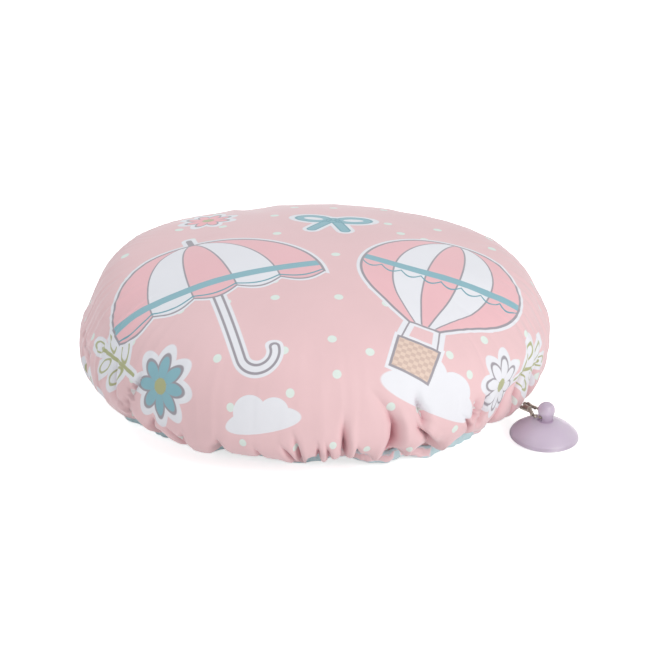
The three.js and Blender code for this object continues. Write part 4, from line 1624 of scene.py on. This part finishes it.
cup = lathe("suction_cup_vinyl", cup_profile(), segments=112)
drill = rod("drill", HOLE_RADIUS, -2 * KNOB_RADIUS, 2 * KNOB_RADIUS, segments=40)
drill.data.transform(Matrix.Translation((0, 0, HOLE_HEIGHT)) @ Matrix.Rotation(math.pi / 2, 4, "X"))
cup = soften(cut_away(cup, drill, "suction_cup_vinyl"), 0.25 * MM, "suction_cup_vinyl")
mark_painted_groove_shade(cup)
cup_joint = next(joint for joint in frame["joints"] if joint["name"] == "cup_pivot")
cup_across = Vector(swing_axis).normalized()
cup_heading = Vector((cup_across.y, -cup_across.x, 0))
cup_top = (Vector((0, 0, 1)) * math.cos(CUP_TILT) + cup_heading * math.sin(CUP_TILT)).normalized()
cup_side = cup_across.cross(cup_top)
settle(cup, cup_side, cup_across, cup_top, Vector(cup_joint["pos_m"]) - cup_top * HOLE_HEIGHT)
finish(cup, vinyl_material())
dress(cup, "hanger_cup", "cup_vinyl", "suction_cup")
print_spans("suction_cup", cup)

# %% [markdown]
# A soft round cord, sewn into the hem, holds the chain. It leaves the hem at two heights and closes round
# the first ball. The curve through the same points as the solid model's keeps it in the same place, and
# the braid is drawn from the cord's own UV map: once along it and once round it.

# %% Hanging loop
CORD_RADIUS = 0.7 * MM
CORD_CLEARANCE = 0.3 * MM
SEAT = 0.5 * MM
CORD_FOOT_ANGLE = -0.1437
CORD_FOOT_RADIUS = 106.2 * MM
CORD_FEET = (2.4 * MM, 6.2 * MM)
CORD_STEPS, CORD_SIDES, BRAID_STRANDS = 10, 20, 4
# A Catmull-Rom curve mixes four knots pair by pair until one point is left. These are the times of each
# pair.
CURVE_LAYERS = [[(0, 1), (1, 2), (2, 3)], [(0, 2), (1, 3)], [(1, 2)]]


def smooth_route(knots, steps):
    """A centripetal Catmull-Rom curve through the knots."""
    knots = [2 * knots[0] - knots[1], *knots, 2 * knots[-1] - knots[-2]]
    route = []
    for four in zip(knots, knots[1:], knots[2:], knots[3:]):
        times = [0.0]
        for first, second in zip(four, four[1:]):
            times.append(times[-1] + math.sqrt((second - first).length))
        for step in range(steps):
            now = times[1] + (times[2] - times[1]) * step / steps
            layer = four
            for spans in CURVE_LAYERS:
                shares = [(now - times[start]) / (times[end] - times[start]) for start, end in spans]
                layer = [first.lerp(second, share) for first, second, share in zip(layer, layer[1:], shares)]
            route.append(layer[0])
    route.append(knots[-2])
    return route


def tube(name, route, radius, sides):
    """Sweeps a round section along a route, with a UV map in metres along and round it."""
    points, travelled, side = [], [0.0], Vector((0, 0, 1))
    for number, place in enumerate(route):
        ahead = route[min(number + 1, len(route) - 1)] - route[max(number - 1, 0)]
        ahead.normalize()
        side = (side - ahead * side.dot(ahead)).normalized()
        other = ahead.cross(side)
        for step in range(sides):
            angle = 2 * math.pi * step / sides
            points.append(place + (side * math.cos(angle) + other * math.sin(angle)) * radius)
        if number:
            travelled.append(travelled[-1] + (place - route[number - 1]).length)
    rows = len(route)
    faces = [(row * sides + step, row * sides + (step + 1) % sides,
              (row + 1) * sides + (step + 1) % sides, (row + 1) * sides + step)
             for row in range(rows - 1) for step in range(sides)]
    faces.append(tuple(reversed(range(sides))))
    faces.append(tuple(range((rows - 1) * sides, rows * sides)))
    piece = link_mesh(name, points, faces)
    layer = piece.data.uv_layers.new(name="cord")
    for face in piece.data.polygons:
        wraps = len(face.vertices) == 4 and {0, sides - 1} <= {vertex % sides for vertex in face.vertices}
        for loop in face.loop_indices:
            vertex = piece.data.loops[loop].vertex_index
            step = vertex % sides
            turn = 1.0 if wraps and step == 0 else step / sides
            layer.data[loop].uv = (travelled[vertex // sides] / (2 * math.pi * radius), turn)
    return piece


def cord_material():
    material, tree, shader = new_material("loop_cord")
    along, aside = parts_of(tree, uv_place(tree, "cord"))
    turns = 2 * math.pi * BRAID_STRANDS
    braid = ((along + aside) * turns).sine() * ((along - aside) * turns).sine()
    bump_chain(tree, shader, (braid, 0.12 * MM, 0.6))
    feed(tree, shader, {
        "Base Color": blended(tree, braid * 0.5 + 0.5, linear(208, 164, 166), linear(238, 202, 203)),
        "Roughness": 0.8,
        "Sheen Weight": 0.2,
    })
    return material


eye_turn = BALL_RADIUS + CORD_RADIUS + CORD_CLEARANCE + SEAT
slant = math.sqrt(0.5) * eye_turn
eye = ball_middles[0] - cup_heading * SEAT


def at_eye(away, rise):
    return eye + cup_heading * away + Vector((0, 0, rise))


def at_foot(height, radius):
    return Vector(round_cap(CORD_FOOT_ANGLE, radius, height))


foot_out = CORD_FOOT_RADIUS + 2 * CORD_RADIUS
cord_knots = [
    at_foot(CORD_FEET[0], CORD_FOOT_RADIUS), at_foot(CORD_FEET[0], foot_out),
    at_eye(-eye_turn, -slant), at_eye(0, -eye_turn), at_eye(slant, -slant), at_eye(eye_turn, 0),
    at_eye(slant, slant), at_eye(0, eye_turn), at_eye(-eye_turn, slant),
    at_foot(CORD_FEET[1], foot_out), at_foot(CORD_FEET[1], CORD_FOOT_RADIUS),
]
cord = tube("loop_cord", smooth_route(cord_knots, CORD_STEPS), CORD_RADIUS, CORD_SIDES)
finish(cord, cord_material())
dress(cord, "cap", "loop_cord", "hanging_loop")
print_spans("hanging_loop", cord)

# %% [markdown]
# A row of lock stitches holds the tape, on its outer and its inner face. Each stitch is a short fat
# capsule that sinks a little into the cloth.

# %% Stitches
STITCH_PITCH = 2.9 * MM
STITCH_LENGTH = 2.2 * MM
STITCH_RADIUS = 0.2 * MM
STITCH_DROP = 1.5 * MM


def thread_material():
    material, tree, shader = new_material("thread")
    where = object_place(tree)
    bump_chain(tree, shader, (noise(tree, where, scale=3000, detail=2), 0.08 * MM, 0.5))
    feed(tree, shader, {
        "Base Color": mottled(tree, where, linear(228, 212, 212), linear(244, 232, 232), 2200, 2),
        "Roughness": 0.7,
    })
    return material


stitch_half = STITCH_LENGTH / 2
stitch = lathe("stitch_shape", [
    (0, -stitch_half), (0.7 * STITCH_RADIUS, -0.8 * stitch_half), (STITCH_RADIUS, 0),
    (0.7 * STITCH_RADIUS, 0.8 * stitch_half), (0, stitch_half),
], 6)
stitch_count = round(2 * math.pi * HEM_RADIUS / STITCH_PITCH)
stitch_angles = ring_angles(stitch_count)
stitch_levels = TAPE_TOP - STITCH_DROP + hem_lift(stitch_angles)
stitch_ways = np.stack([-np.sin(stitch_angles), np.cos(stitch_angles), np.zeros(stitch_count)], axis=1)
outer_radii = hem_radii(stitch_angles, TAPE_HALF) + tape_swell(stitch_angles, TAPE_TOP - STITCH_DROP)
inner_radii = hem_radii(stitch_angles, -TAPE_HALF)
places = [*round_cap(stitch_angles, outer_radii, stitch_levels),
          *round_cap(stitch_angles, inner_radii, stitch_levels)]
stitches = repeated("hem_stitches", stitch, thread_material(), places, [*stitch_ways, *stitch_ways])
bpy.data.objects.remove(stitch)
dress(stitches, "cap", "binding_fabric")
print(len(places), "stitches")
